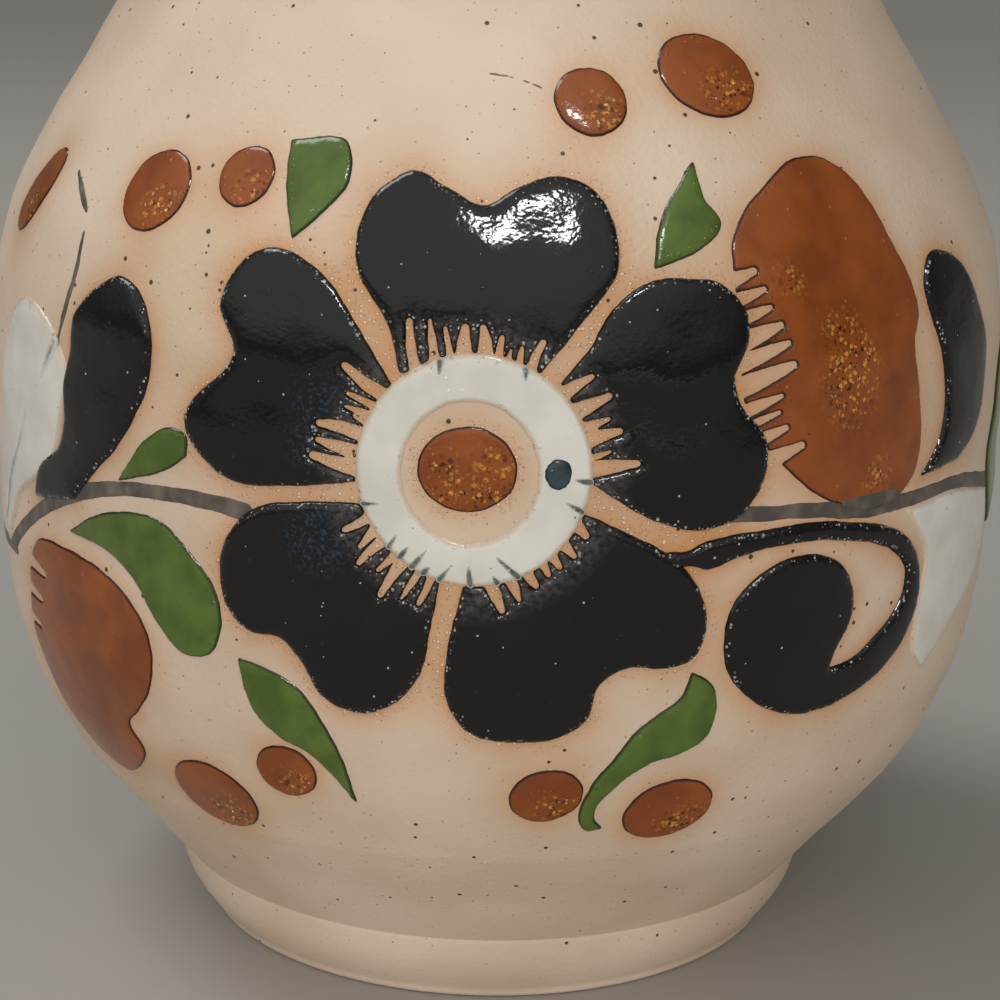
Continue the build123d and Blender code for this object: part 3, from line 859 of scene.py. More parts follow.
@dataclass(frozen=True)
class Stoneware(Finish):
    """Bare buff stoneware, thrown, trimmed and fired without glaze.

    It is a dull pinkish cream with iron specks, and flashes to a glossier peach beside
    the dark glazes, where spattered glaze leaves pale beads.
    """

    light: str = "#D5C1AC"
    shade: str = "#CAB39B"
    flash: str = "#BE7D38"
    speck: str = "#4A3628"
    fine_speck: str = "#8F735B"
    bead: str = "#E2C2A0"

    def build(self, recipe: Recipe) -> None:
        """Cream patches, flashing, two sizes of speck, beads and a dry grain.

        Args:
            recipe: Recipe that gets the nodes.
        """
        tree = recipe.tree
        patchy = add_node(
            tree, "MapRange", {"To Min": 0.6}, {"Value": recipe.clouds(4.5, 0.3, 0.65)}
        )
        flashing = add_node(tree, "Attribute", {"attribute_name": "flashing"}, output="Fac")
        peach = add_node(tree, "Math", {"operation": "MULTIPLY"}, {0: flashing, 1: patchy})
        # Specks measure 0.1 to 0.4 mm across on the real clay
        fine = recipe.dots(0.45, 0.085, 0.4)
        coarse = recipe.dots(1.0, 0.2, 0.3)
        # Beads are as small, and crowd where two glazes lie close together
        spattered = add_node(tree, "Attribute", {"attribute_name": "spattered"}, output="Fac")
        crowd = add_node(tree, "MapRange", {"From Min": 0.4, "From Max": 0.75}, {"Value": spattered})
        beads = add_node(
            tree, "Math", {"operation": "MULTIPLY"},
            {0: recipe.dots(0.27, 0.14, 0.85), 1: crowd},
        )
        color = recipe.tinted(
            self.light, (recipe.clouds(14, 0.35, 0.65), self.shade), (peach, self.flash),
            (fine, self.fine_speck), (coarse, self.speck), (beads, self.bead),
        )
        dry = add_node(tree, "MapRange", {"To Min": 0.55, "To Max": 0.3}, {"Value": peach})
        tree.links.new(dry, recipe.shader.inputs["Roughness"])
        grain = recipe.clouds(0.4, 0.3, 0.7)
        recipe.complete(color, [(grain, 0.02), (coarse, 0.03), (beads, 0.12)])


@dataclass(frozen=True)
class MeltedGlaze(Finish):
    """Glaze laid on with a loaded brush and melted to glass.

    It is wet-looking and one deep colour with soft patches, darker in a hair line at its
    edge, rippled like orange peel, and holds small bubbles that catch the light. The
    bubbles' lighter colour is a painted highlight, and its pinholes' darker colour painted
    shade.

    Attributes:
        patch_mm: Size of a patch.
        rim_mm: Width of the line at its edge.
        bubble_share: How many bubbles it holds.
        pinhole_shade: Colour of the burst pits: painted shade, as the relief has no pits.
    """

    body: str = "#546929"
    patch: str = "#435820"
    patch_mm: float = 2.5
    rim: str = "#2C3314"
    rim_mm: float = 0.2
    roughness: float = 0.16
    # Lighter colour of the bubbles: a painted highlight
    bubble_highlight: str = "#7D9150"
    bubble_share: float = 0.4
    # Darker colour of the pinholes: painted shade, with no pit in the relief
    pinhole_shade: str = "#3A4A1C"

    def build(self, recipe: Recipe) -> None:
        """Patches, an edge line, bubbles and ripples.

        Args:
            recipe: Recipe that gets the nodes.
        """
        color = recipe.tinted(self.body, (recipe.clouds(self.patch_mm, 0.38, 0.64), self.patch))
        bubbles = recipe.dots(1.0, 0.15, self.bubble_share, Grain.PIT)
        color = recipe.tinted(
            # Painted highlight on the bubbles
            self.enriched(recipe, color), (bubbles, self.bubble_highlight),
            # Painted shade in the pinholes
            (recipe.dots(1.3, 0.11, 0.4), self.pinhole_shade),
            (self.edge(recipe, self.rim_mm), self.rim),
        )
        swell = recipe.clouds(2.2, 0.2, 0.8, detail=1.0)
        # Orange peel of molten glaze is 0.2 to 0.4 mm from crest to crest
        ripple = recipe.clouds(0.36, 0.2, 0.8, detail=1.0)
        # Beads of 0.2 mm stand along the edge, where the glaze pulled back
        beads = add_node(
            recipe.tree, "Math", {"operation": "MULTIPLY"},
            {0: recipe.dots(0.36, 0.15, 0.8, Grain.PIT), 1: self.edge(recipe, 0.7)},
        )
        recipe.shader.inputs["Roughness"].default_value = self.roughness
        recipe.complete(color, [(swell, 0.03), (ripple, 0.009), (bubbles, 0.07), (beads, 0.1)])

    def enriched(self, recipe: Recipe, color: Socket) -> Socket:
        """Colour with what only this glaze has in it, which is nothing in a plain one."""
        return color

    def edge(self, recipe: Recipe, width_mm: float) -> Socket:
        """Line along the glaze's edge.

        Args:
            recipe: Recipe that gets the nodes.
            width_mm: Width of the line.

        Returns:
            Socket that is 1 at the edge and 0 further in.
        """
        depth = add_node(recipe.tree, "Attribute", {"attribute_name": "depth"}, output="Fac")
        return add_node(
            recipe.tree, "MapRange",
            {"interpolation_type": "SMOOTHSTEP", "From Min": 0.4 * width_mm,
             "From Max": width_mm, "To Min": 1.0, "To Max": 0.0},
            {"Value": depth},
        )


@dataclass(frozen=True)
class BlackGlaze(MeltedGlaze):
    """Blue-black cobalt and iron gloss.

    Cobalt blue crystals show where it pooled, and it turns to a smoky brown where the
    comb dragged it thin. Small bubbles in its edge carry painted highlights.
    """

    body: str = "#090C0E"
    patch: str = "#110E0F"
    patch_mm: float = 6.0
    rim: str = "#080A0A"
    rim_mm: float = 0.13
    roughness: float = 0.08
    bubble_highlight: str = "#1D2021"
    bubble_share: float = 0.5
    pinhole_shade: str = "#050606"
    smoke: str = "#4F4A47"
    cobalt: str = "#203445"
    # Pale colour painted on the edge's bubbles as their highlight
    painted_glint: str = "#C9C7C1"

    def enriched(self, recipe: Recipe, color: Socket) -> Socket:
        """Cobalt where it pooled, smoky fingers between the scratches, and painted highlights on
        fine bubbles.

        Args:
            recipe: Recipe that gets the nodes.
            color: Socket of the plain glaze's colour.

        Returns:
            Socket of the richer colour.
        """
        tree = recipe.tree
        pooled, combed = (
            add_node(tree, "Attribute", {"attribute_name": name}, output="Fac")
            for name in ("pooled", "combed")
        )
        blue = add_node(
            tree, "Math", {"operation": "MULTIPLY"},
            {0: pooled, 1: recipe.clouds(0.24, 0.5, 0.64)},
        )
        thin = add_node(tree, "MapRange", {"From Min": 0.54, "From Max": 0.84}, {"Value": combed})
        fingers = add_node(
            tree, "Math", {"operation": "MULTIPLY"},
            {0: thin, 1: recipe.clouds(0.4, 0.34, 0.68)},
        )
        # Foam of 0.1 to 0.2 mm bubbles gathers in stretches of the edge
        foam = add_node(
            tree, "Math", {"operation": "MULTIPLY"},
            {0: recipe.dots(0.24, 0.13, 0.95), 1: recipe.clouds(2.4, 0.4, 0.5)},
        )
        # A few bubbles of 0.1 mm stand alone further in
        bubbles = add_node(
            tree, "Math", {"operation": "MULTIPLY_ADD"},
            {0: foam, 1: self.edge(recipe, 0.45), 2: recipe.dots(0.85, 0.1, 0.6)},
        )
        # The pale tint on these bubbles is a painted highlight, not a colour of the glaze
        painted_glints = add_node(tree, "MapRange", {"To Max": 0.7}, {"Value": bubbles})
        return recipe.tinted(color, (blue, self.cobalt), (fingers, self.smoke), (painted_glints, self.painted_glint))


@dataclass(frozen=True)
class AmberGlaze(MeltedGlaze):
    """Iron-brown glaze in which gold crystals and dark specks grew where it pooled.

    The palest crystals are their own gold, brightened as a painted sparkle.

    Attributes:
        wander_mm: How far crystals stray from a round shape.
    """

    body: str = "#8E4A1B"
    patch: str = "#783B13"
    patch_mm: float = 4.0
    rim: str = "#35160C"
    rim_mm: float = 0.2
    roughness: float = 0.13
    bubble_highlight: str = "#B57444"
    bubble_share: float = 0.55
    pinhole_shade: str = "#4A200D"
    gold: str = "#C58A30"
    # Crystal gold, brightened as a painted sparkle
    painted_glint: str = "#E9C77F"
    dark: str = "#331508"
    wander_mm: float = 0.4

    def enriched(self, recipe: Recipe, color: Socket) -> Socket:
        """Crystals and specks of 0.2 to 0.4 mm in the pools.

        Args:
            recipe: Recipe that gets the nodes.
            color: Socket of the plain glaze's colour.

        Returns:
            Socket of the richer colour.
        """
        tree = recipe.tree
        pooled = add_node(tree, "Attribute", {"attribute_name": "pooled"}, output="Fac")
        wander = add_node(
            tree, "TexNoise", {"Scale": per(0.16)}, {"Vector": recipe.place}, output="Color"
        )
        place = add_node(
            tree, "VectorMath", {"operation": "MULTIPLY_ADD", 1: (self.wander_mm * MM,) * 3},
            {0: wander, 2: recipe.place},
        )
        # The pale third tint is the crystals' gold, brightened as a painted sparkle
        for spacing, radius, share, tint in (
            (0.44, 0.24, 0.95, self.dark), (0.36, 0.21, 0.95, self.gold),
            (0.5, 0.13, 0.8, self.painted_glint), (0.4, 0.13, 0.8, self.dark),
        ):
            grains = recipe.dots(spacing, radius, share, place=place)
            here = add_node(tree, "Math", {"operation": "MULTIPLY"}, {0: grains, 1: pooled})
            color = recipe.tinted(color, (here, tint))
        return color


@dataclass(frozen=True)
class Wash(Finish):
    """Thin oxide wash, brushed on bare clay: dull, streaky, with clay showing through."""

    body: str = "#4C4641"
    thin: str = "#71665B"
    roughness: float = 0.42

    def build(self, recipe: Recipe) -> None:
        """Streaks and a half-dry surface.

        Args:
            recipe: Recipe that gets the nodes.
        """
        color = recipe.tinted(self.body, (recipe.clouds(1.6, 0.4, 0.68), self.thin))
        recipe.shader.inputs["Roughness"].default_value = self.roughness
        recipe.complete(color, [(recipe.clouds(0.5, 0.3, 0.7), 0.015)])


# Coats


@dataclass(frozen=True)
class Relief:
    """How a glaze stands off the clay.

    Attributes:
        thickness: Its height in millimetres.
        shoulder: Width over which its edge rises.
        steep_share: Share of the height that it has gained there. The rest is gained
            over four times that width.
        swell_share: How far its height swells and sinks, as a share.
    """

    thickness: float
    shoulder: float
    steep_share: float = 0.65
    swell_share: float = 0.06

    def lift(self, depth: Values, points: Points) -> Values:
        """Height of the glaze.

        Args:
            depth: Distance from the edge in millimetres.
            points: Places on the drawing plane, for its slow swell.

        Returns:
            Height off the clay at each place.
        """
        near, far = (
            np.sqrt(1 - (1 - np.clip(depth / (k * self.shoulder), 0, 1)) ** 2) for k in (1, 4)
        )
        rise = self.steep_share * near + (1 - self.steep_share) * far
        swell = np.sin(1.3 * points[:, 0] + 0.4) * np.sin(1.1 * points[:, 1] - 0.8)
        return self.thickness * rise * (1 + self.swell_share * swell)


@dataclass(frozen=True)
class Coat:
    """Glaze or wash as it lies on the clay.

    Attributes:
        finish: Its finish.
        relief: How it stands off the clay.
        flashing: How far the clay right beside it flashes, as a share.
    """

    finish: Finish
    relief: Relief
    flashing: float = 0.0


LOADED_BRUSH = Relief(0.42, 0.6)
SINGLE_COAT = Relief(0.26, 0.5)
SUNKEN_COAT = Relief(0.16, 0.4)
THIN_WASH = Relief(0.05, 0.2)

BLACK = Coat(BlackGlaze(Slot.DARK, "blue_black_gloss_glaze"), LOADED_BRUSH, flashing=0.75)
AMBER = Coat(AmberGlaze(Slot.BROWN, "amber_crystal_glaze"), SUNKEN_COAT, flashing=0.6)
# The leaf green is deep and even, and nearly black where it ends
GREEN = Coat(MeltedGlaze(Slot.GREEN, "leaf_green_glaze"), SINGLE_COAT)
# The white is warm and milky, and thins to the clay's colour at its edge
WHITE = Coat(
    MeltedGlaze(
        Slot.WHITE, "warm_white_glaze", body="#D8D4CA", patch="#CECAC0", patch_mm=3.5,
        rim="#C9B9A4", rim_mm=0.4, bubble_highlight="#FBFAF6", bubble_share=0.9, pinhole_shade="#857E75",
    ),
    SINGLE_COAT,
)
# The teal is a dark blue-green drop, darker in its patches and at its edge
TEAL = Coat(
    MeltedGlaze(
        Slot.TEAL, "dark_teal_glaze", body="#36484B", patch="#28363A", patch_mm=1.2,
        rim="#1B2224", rim_mm=0.25, bubble_highlight="#6E8286", pinhole_shade="#20292B",
    ),
    LOADED_BRUSH,
)
WASH = Coat(Wash(Slot.WASH, "grey_oxide_wash"), THIN_WASH)
# Dark glaze that a tool dragged over the white is grey, with a soft pale edge
SMEAR = Coat(
    MeltedGlaze(
        Slot.WASH, "dark_glaze_dragged_over_white", body="#474D4A", patch="#636965", patch_mm=0.8,
        rim="#A9ABA3", rim_mm=0.1, bubble_highlight="#A3A6A0", bubble_share=0.3, pinhole_shade="#50544F",
    ),
    THIN_WASH,
)
# A thin line that melted into the white is a pale grey, and paler at its edge
VEIN = Coat(
    MeltedGlaze(
        Slot.WASH, "grey_brush_line_in_white_glaze", body="#81888B", patch="#989C9B", patch_mm=1.2,
        rim="#C9C6BD", rim_mm=0.36, bubble_highlight="#B9BAB5", bubble_share=0.3, pinhole_shade="#7A7F80",
    ),
    THIN_WASH,
)


# Pieces


def add_piece(
    name: str, vertices: Points, faces: list, finish: Finish, sharp: set | None = None
) -> bpy.types.Object:
    """Make a smooth mesh piece that rides on the pot.

    Args:
        name: Name of the piece.
        vertices: Points in metres.
        faces: Corner numbers of each face.
        finish: Its finish.
        sharp: Edges that stay sharp, as sorted pairs of corner numbers.

    Returns:
        The new object.
    """
    mesh = bpy.data.meshes.new(name)
    mesh.from_pydata(vertices.tolist(), [], faces)
    mesh.shade_smooth()
    if sharp:
        for edge in mesh.edges:
            edge.use_edge_sharp = tuple(sorted(edge.vertices)) in sharp
    mesh.materials.append(finish.material)
    piece = bpy.data.objects.new(name, mesh)
    bpy.context.scene.collection.objects.link(piece)
    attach(piece, "root")
    LOG.info("%s: %d faces", name, len(mesh.polygons))
    return piece


def note_values(piece: bpy.types.Object, notes: dict[str, Values]) -> None:
    """Write values that the finish reads onto a piece's points.

    Args:
        piece: Piece that gets them.
        notes: Values of all its points, by the name that the finish asks for.
    """
    for name, values in notes.items():
        attribute = piece.data.attributes.new(name, "FLOAT", "POINT")
        attribute.data.foreach_set("value", values.astype(np.float32).ravel())


@dataclass(frozen=True, eq=False)
class Pad:
    """One area of glaze on the wall.

    Attributes:
        node: CAD node that it stands for, or none for a mark that only the looks have.
        azimuth: Direction of its drawing plane in degrees.
        height: Height of that plane's origin in millimetres.
        shape: Its region of the plane.
        base_lift: Height at which it starts, for a mark drawn over another glaze.
        step: Distance between the points of its edge.
        pitch: Step of the grid that its edge is read from.
        pools: Where its glaze pooled thick.
        comb_reach: Distance from the plane's origin that a comb reached, or 0.
        spatter: How thick its beads lie on the clay right beside it, as a share.
    """

    name: str
    node: str | None
    coat: Coat
    azimuth: float
    height: float
    shape: Shape
    base_lift: float = 0.0
    step: float = 0.22
    pitch: float = 0.15
    pools: tuple[Oval, ...] = ()
    comb_reach: float = 0.0
    spatter: float = 0.0

    # How deep its root lies in the clay
    ROOT_MM = 0.15
    # Rows of points inside the edge, as shares of the shoulder's width
    RING_SHARES = (0.1, 0.25, 0.45, 0.7, 1.0, 1.4, 2.0, 2.8)
    # Spacing of the points further in, and how close two points may lie beside the edge
    # and elsewhere
    MIDDLE_MM = 0.75
    CLOSE_MM = (0.085, 0.17)
    SLIVER = 1e-7
    # Width over which a pool fades
    POOL_FADE_MM = 1.4
    # How far out a comb thins the glaze, and over how much of that it fades, as shares of
    # its reach
    COMB_END = 1.35
    COMB_FADE = 0.6

    @cached_property
    def field(self) -> Field:
        """Distances of the region."""
        return Field(self.shape, self.pitch)

    def on_wall(self, wall: Wall, points: Points, lift: Values) -> Points:
        """Carry points of the drawing plane straight back onto the wall.

        Args:
            wall: The wall.
            points: Points of the plane.
            lift: Millimetres off the clay.

        Returns:
            Points in metres.
        """
        height = self.height + points[:, 1]
        across = np.clip(points[:, 0] / wall.radius(height), -0.999, 0.999)
        return wall.place(radians(self.azimuth) + np.arcsin(across), height, lift)

    def scatter(self) -> tuple[Points, Edges]:
        """Points that the glaze's face is woven from, close together near its edge.

        Returns:
            The points, edge points first, and the edge's segments.
        """
        loops = [evenly(loop, self.step) for loop in self.field.edges()]
        edge = np.vstack(loops)
        segments = []
        for loop in loops:
            first, count = len(segments), len(loop)
            segments += [(first + k, first + (k + 1) % count) for k in range(count)]
        inward = self.field.inward(edge)
        found = [edge]
        for share in self.RING_SHARES:
            reach = share * self.coat.relief.shoulder
            ring = edge + inward * reach
            fits = np.abs(self.field.sample(ring) + reach) < 0.1 * reach + 0.02
            found.append(ring[fits])
        found.append(self.middle(edge.min(0), edge.max(0)))
        taken, kept = set(), []
        for number, point in enumerate(np.vstack(found)):
            size = self.CLOSE_MM[0] if number < len(edge) * 3 else self.CLOSE_MM[1]
            cell = (round(point[0] / size), round(point[1] / size), size)
            if number < len(edge) or cell not in taken:
                kept.append(point)
            taken.add(cell)
        return np.array(kept), segments

    def middle(self, low: Points, high: Points) -> Points:
        """Staggered rows of points, away from the edge.

        Args:
            low: Lowest corner of the region.
            high: Its highest corner.

        Returns:
            The points.
        """
        x, y = np.meshgrid(
            np.arange(low[0], high[0], self.MIDDLE_MM),
            np.arange(low[1], high[1], self.MIDDLE_MM * 0.87),
        )
        x[1::2] += self.MIDDLE_MM / 2
        points = np.stack([x.ravel(), y.ravel()], 1)
        edge_mm = self.coat.relief.shoulder * self.RING_SHARES[-1] + 0.3
        return points[self.field.sample(points) < -edge_mm]

    def weave(self) -> tuple[Points, list[list[int]], Values]:
        """Fill the region with triangles.

        Returns:
            Points of the plane, triangles, and each point's distance from the edge.
        """
        points, segments = self.scatter()
        out, _, faces, origins, _, _ = delaunay_2d_cdt(
            [Vector(p) for p in points], segments, [], 0, 1e-6
        )
        flat = np.array([tuple(p) for p in out])
        corners = np.array([tuple(f) for f in faces])
        starts, ends = (points[[s[k] for s in segments]] for k in (0, 1))
        corners = corners[within(flat[corners].mean(1), starts, ends)]
        corners, area = counter_clockwise(flat, corners)
        corners = corners[np.abs(area) > self.SLIVER]
        depth = np.maximum(-self.field.sample(flat), 0)
        depth[[any(k < len(segments) for k in origin) for origin in origins]] = 0
        return flat, corners.tolist(), depth

    def build(self, wall: Wall) -> bpy.types.Object:
        """Make the piece: a face with a rounded edge, rooted a little inside the clay.

        Args:
            wall: Wall that it lies on.

        Returns:
            The new object.
        """
        flat, faces, depth = self.weave()
        top = self.on_wall(wall, flat, self.base_lift + self.coat.relief.lift(depth, flat))
        edges = open_edges(faces)
        rim = sorted({k for edge in edges for k in edge})
        number = {k: n for n, k in enumerate(rim)}
        back = self.close_back(flat[rim], [(number[a], number[b]) for a, b in edges])
        if back is None:
            # The face itself closes the back where its rim alone can't
            rim, back = list(range(len(flat))), [face[::-1] for face in faces]
        root = np.full(len(rim), self.base_lift - self.ROOT_MM)
        bottom = self.on_wall(wall, flat[rim], root)
        under = {k: len(flat) + n for n, k in enumerate(rim)}
        sides = [[b, a, under[a], under[b]] for a, b in edges]
        closing = [[len(flat) + k for k in face] for face in back]
        piece = add_piece(
            self.name, np.vstack([top, bottom]), faces + sides + closing, self.coat.finish,
            {tuple(sorted(edge)) for edge in edges},
        )
        notes = {"depth": depth, "pooled": self.pooled(flat), "combed": self.combed(flat)}
        hidden = np.zeros(len(bottom))
        note_values(piece, {name: np.append(values, hidden) for name, values in notes.items()})
        if self.node:
            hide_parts(self.node)
        return piece

    def pooled(self, points: Points) -> Values:
        """How thick the glaze pooled at each place, as a share."""
        gaps = [pool.distance(points) / self.POOL_FADE_MM for pool in self.pools]
        return np.max([np.zeros(len(points)), *(np.clip(0.7 - g, 0, 1) for g in gaps)], axis=0)

    def combed(self, points: Points) -> Values:
        """How thin the comb dragged the glaze at each place.

        Args:
            points: Places on the plane.

        Returns:
            Shares, from 1 close to the comb's start to 0 beyond its reach.
        """
        if not self.comb_reach:
            return np.zeros(len(points))
        away = self.comb_reach * self.COMB_END - np.hypot(*points.T)
        return np.clip(away / (self.comb_reach * self.COMB_FADE), 0, 1)

    @staticmethod
    def close_back(spots: Points, edges: Edges) -> list[list[int]] | None:
        """Close the hidden back with the rim's points alone.

        Args:
            spots: Points of the rim.
            edges: Its edges.

        Returns:
            Triangles that face backwards, or none where these points don't do.
        """
        out, _, faces, origins, _, _ = delaunay_2d_cdt(
            [Vector(p) for p in spots], edges, [], 0, 1e-9
        )
        if len(out) != len(spots):
            return None
        corners = np.array([[origins[k][0] for k in face] for face in faces])
        starts, ends = (spots[[edge[k] for edge in edges]] for k in (0, 1))
        corners = corners[within(spots[corners].mean(1), starts, ends)]
        return counter_clockwise(spots, corners)[0][:, ::-1].tolist()


@dataclass
class ThrownPot:
    """Clay body: wall, neck and lip in one thrown piece, and the turned foot.

    Lengths are millimetres. The steps lie between rows of points on the lip and inside.

    Attributes:
        columns: Steps round the pot.
        lip_angles: Angles between which the lip rolls round.
        plain_rows: Rows of the lip and the throat that have no throwing rings.
        flash_reach: Distance over which flashing and spatter fade.
        foot_edge: Radius of the edges of the foot's standing face.
        foot_bulge: How far the foot's outside swells.
    """

    wall: Wall
    clay: Finish = Stoneware(Slot.CLAY, "bare_speckled_stoneware")
    columns: int = 540
    lip_step: float = 0.3
    lip_angles: tuple[float, float] = (-42.0, 215.0)
    inner_step: float = 1.2
    floor_step: float = 2.5
    floor_rows: int = 12
    foot_rows: int = 14
    inner_ring_depth: float = 0.22
    inner_ring_pitch: float = 4.6
    plain_rows: int = 30
    flash_reach: float = 1.1
    foot_inner_radius: float = 18.3
    foot_outer_radius: float = 23.9
    foot_edge: float = 0.7
    foot_bulge: float = 0.6

    # Cosine from which on a place of the wall lies on a glaze's own side
    FACING = 0.2

    @cached_property
    def turns(self) -> Values:
        """Radians of each step round the pot."""
        return np.arange(self.columns) * 2 * pi / self.columns

    @cached_property
    def steps(self) -> Edges:
        """Number of each column and of the next one."""
        return [(k, (k + 1) % self.columns) for k in range(self.columns)]

    def section(self) -> tuple[Points, int]:
        """Draw the closed half section of the wall.

        Returns:
            Its rows, and how many of them face outwards below the lip.
        """
        wall = self.wall
        middle = wall.turned(
            wall.neck_center, wall.neck_curve + wall.thickness / 2, 180 - wall.neck_flare
        )
        lip = wall.arc(middle, wall.lip_radius, *self.lip_angles, self.lip_step)
        inner = wall.line(wall.thickness, self.inner_step)[::-1]
        edge = inner[-1][0] - self.floor_step
        floor = [(r, wall.floor_height) for r in np.linspace(edge, 0, self.floor_rows)]
        under = [(r, wall.foot_height) for r in np.linspace(0, wall.crease_radius, self.foot_rows)]
        return np.vstack([wall.outer, lip, inner, floor, under[:-1]]), len(wall.outer)

    def build_wall(self, pads: list[Pad]) -> bpy.types.Object:
        """Make the thrown wall.

        Args:
            pads: Glazes that lie on it.

        Returns:
            The new object.
        """
        rows, outward = self.section()
        level = np.zeros(self.columns)
        blocks = [
            self.wall.place(self.turns, height + level, level) for height in rows[:outward, 1]
        ]
        for number, (radius, height) in enumerate(rows[outward:]):
            if number > self.plain_rows and radius > 4 and height > self.wall.foot_height:
                lean = height * 2 * pi / self.inner_ring_pitch
                radius = radius + self.inner_ring_depth * np.sin(lean + self.turns)
            blocks.append(around(self.turns, radius, height))
        wall = add_piece(
            "thrown_wall", np.vstack(blocks), self.wrapped(len(rows)), self.clay,
            {tuple(sorted(step)) for step in self.steps},
        )
        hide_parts("lower_bowl", "shoulder", "neck", "rim")
        note_values(wall, self.fired(pads, rows, outward))
        return wall

    def fired(self, pads: list[Pad], rows: Points, outward: int) -> dict[str, Values]:
        """Work out what the fire made of the clay beside the dark glazes.

        Args:
            pads: Glazes that lie on it.
            rows: Rows of the section.
            outward: How many of them face outwards.

        Returns:
            Shares of flashing and of spatter for each point of the wall.
        """
        plain = {name: np.ones((len(rows), self.columns)) for name in ("flashing", "spattered")}
        heights = np.repeat(rows[:outward, 1], self.columns)
        azimuths = np.tile(self.turns, outward)
        radii = self.wall.radius(heights)
        for pad in (pad for pad in pads if pad.coat.flashing):
            aside, margin = azimuths - radians(pad.azimuth), pad.field.margin
            spot = np.stack([radii * np.sin(aside), heights - pad.height], 1)
            gap = np.where(np.cos(aside) > self.FACING, pad.field.sample(spot), margin)
            near = np.exp(-np.maximum(gap, 0) / self.flash_reach)
            near = np.where(gap < margin - 0.1, near, 0).reshape(outward, -1)
            plain["flashing"][:outward] *= 1 - near * pad.coat.flashing
            plain["spattered"][:outward] *= 1 - near * pad.spatter
        return {name: 1 - values for name, values in plain.items()}

    def wrapped(self, rows: int) -> list[list[int]]:
        """Faces of a closed section turned once round the axis.

        Args:
            rows: Number of the section's rows.

        Returns:
            Corner numbers of each face.
        """
        faces = []
        for row in range(rows):
            here, onward = row * self.columns, (row + 1) % rows * self.columns
            faces += [[here + a, here + b, onward + b, onward + a] for a, b in self.steps]
        return faces

    def build_foot(self) -> bpy.types.Object:
        """Make the turned foot ring, with its slightly swelling outside.

        Returns:
            The new object.
        """
        wall, edge = self.wall, self.foot_edge
        inner, outer = self.foot_inner_radius, self.foot_outer_radius
        bends = np.linspace(0, pi / 2, 6)
        low = [(inner, wall.foot_height), (inner, wall.foot_height / 2)]
        low += [(inner + edge * (1 - cos(a)), edge * (1 - sin(a))) for a in bends]
        low += [(outer - edge * (1 - sin(a)), edge * (1 - cos(a))) for a in bends]
        shares = np.linspace(0, 1, self.foot_rows)[1:]
        crease = (wall.crease_radius, wall.foot_height)
        side = np.outer(1 - shares, low[-1]) + np.outer(shares, crease)
        side[:, 0] += self.foot_bulge * np.sin(pi * shares)
        rows = np.vstack([low, side])[::-1]
        blocks = [around(self.turns, radius, height) for radius, height in rows]
        faces = [face[::-1] for face in self.wrapped(len(rows))]
        foot = add_piece("trimmed_foot", np.vstack(blocks), faces, self.clay)
        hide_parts("foot_ring")
        return foot


# The glazed band


@dataclass(frozen=True)
class Mark:
    """Brush mark of the band.

    Attributes:
        azimuth: Direction of its drawing plane in degrees.
        rise: Height above the flower's middle, as a share of the petals' reach.
        width: Width as a share of that reach.
        length: Length as a share of that reach.
        lines: Lines that bound it or that the brush follows, in hundredths of its size.
    """

    azimuth: float
    rise: float
    width: float
    length: float
    lines: tuple[Line, ...] = ()

    def runs(self, reach: float, closed: bool = False) -> list[Points]:
        """Smooth lines of its real size, in millimetres."""
        width, length = reach * self.width, reach * self.length
        return [smooth_line(scaled(line, width, length), closed) for line in self.lines]

    def outline(self, reach: float) -> Outline:
        """Region inside its lines, which meet in corners."""
        return Outline(np.vstack([run[:-1] for run in self.runs(reach)]))

    def strokes(self, reach: float, widths: tuple[float, ...]) -> Joined:
        """Brush strokes along its lines."""
        return Joined(tuple(Stroke(run, widths) for run in self.runs(reach)))


@dataclass
class GlazeWork(ABC):
    """Part of the glazed band.

    Attributes:
        reach: How far the main flower's petals reach from its middle, in millimetres.
        flower_height: Height of that middle.
    """

    reach: float = 20.0
    flower_height: float = 45.0

    @abstractmethod
    def pads(self) -> list[Pad]:
        """Glaze areas of this part of the band."""

    def pad(self, name: str, coat: Coat, mark: Mark, shape: Shape, **more: object) -> Pad:
        """Glaze area of a mark.

        Args:
            name: Name of the piece, and of the CAD node that it stands for.
            coat: What it is made of.
            mark: Mark that places it.
            shape: Its region of the drawing plane.
            more: Other fields of Pad, and the node where it has another name or none.

        Returns:
            The glaze area.
        """
        height = self.flower_height + self.reach * mark.rise
        node = more.pop("node", name)
        return Pad(name, node, coat, mark.azimuth, height, shape, **more)


@dataclass(frozen=True)
class Comb:
    """Comb that is dragged through a petal's wet root, towards the ring.

    Attributes:
        scratches: Of each scratch its direction in degrees at the ring and at its tip,
            its reach as a share of the petals' reach, and its width as a share of the
            widest one.
        width: Width of the widest scratch where it meets the ring, in millimetres.
        taper: Widths along a scratch, from the ring to its blunt tip, as shares.
        bend: How far a scratch bends aside as the hand moved, as a share of its length.
    """

    scratches: tuple[tuple[float, float, float, float], ...]
    width: float = 1.1
    taper: tuple[float, ...] = (1.0, 0.95, 0.75, 0.42)
    bend: float = 0.05

    def strokes(self, start: float, reach: float) -> tuple[Stroke, ...]:
        """Blunt wedges that the comb leaves.

        Args:
            start: Distance from the flower's middle at which they start.
            reach: How far the petals reach.

        Returns:
            One stroke for each scratch.
        """
        marks = []
        for number, (first, last, share, wide) in enumerate(self.scratches):
            root, tip = start * heading(first), reach * share * heading(last)
            side = np.array([root[1] - tip[1], tip[0] - root[0]]) * self.bend
            along = np.linspace(0, 1, 7)[:, None]
            bent = side * sin(2.4 * number + 1) * np.sin(pi * along)
            widths = tuple(self.width * wide * part for part in self.taper)
            marks.append(Stroke(root + (tip - root) * along + bent, widths))
        return tuple(marks)


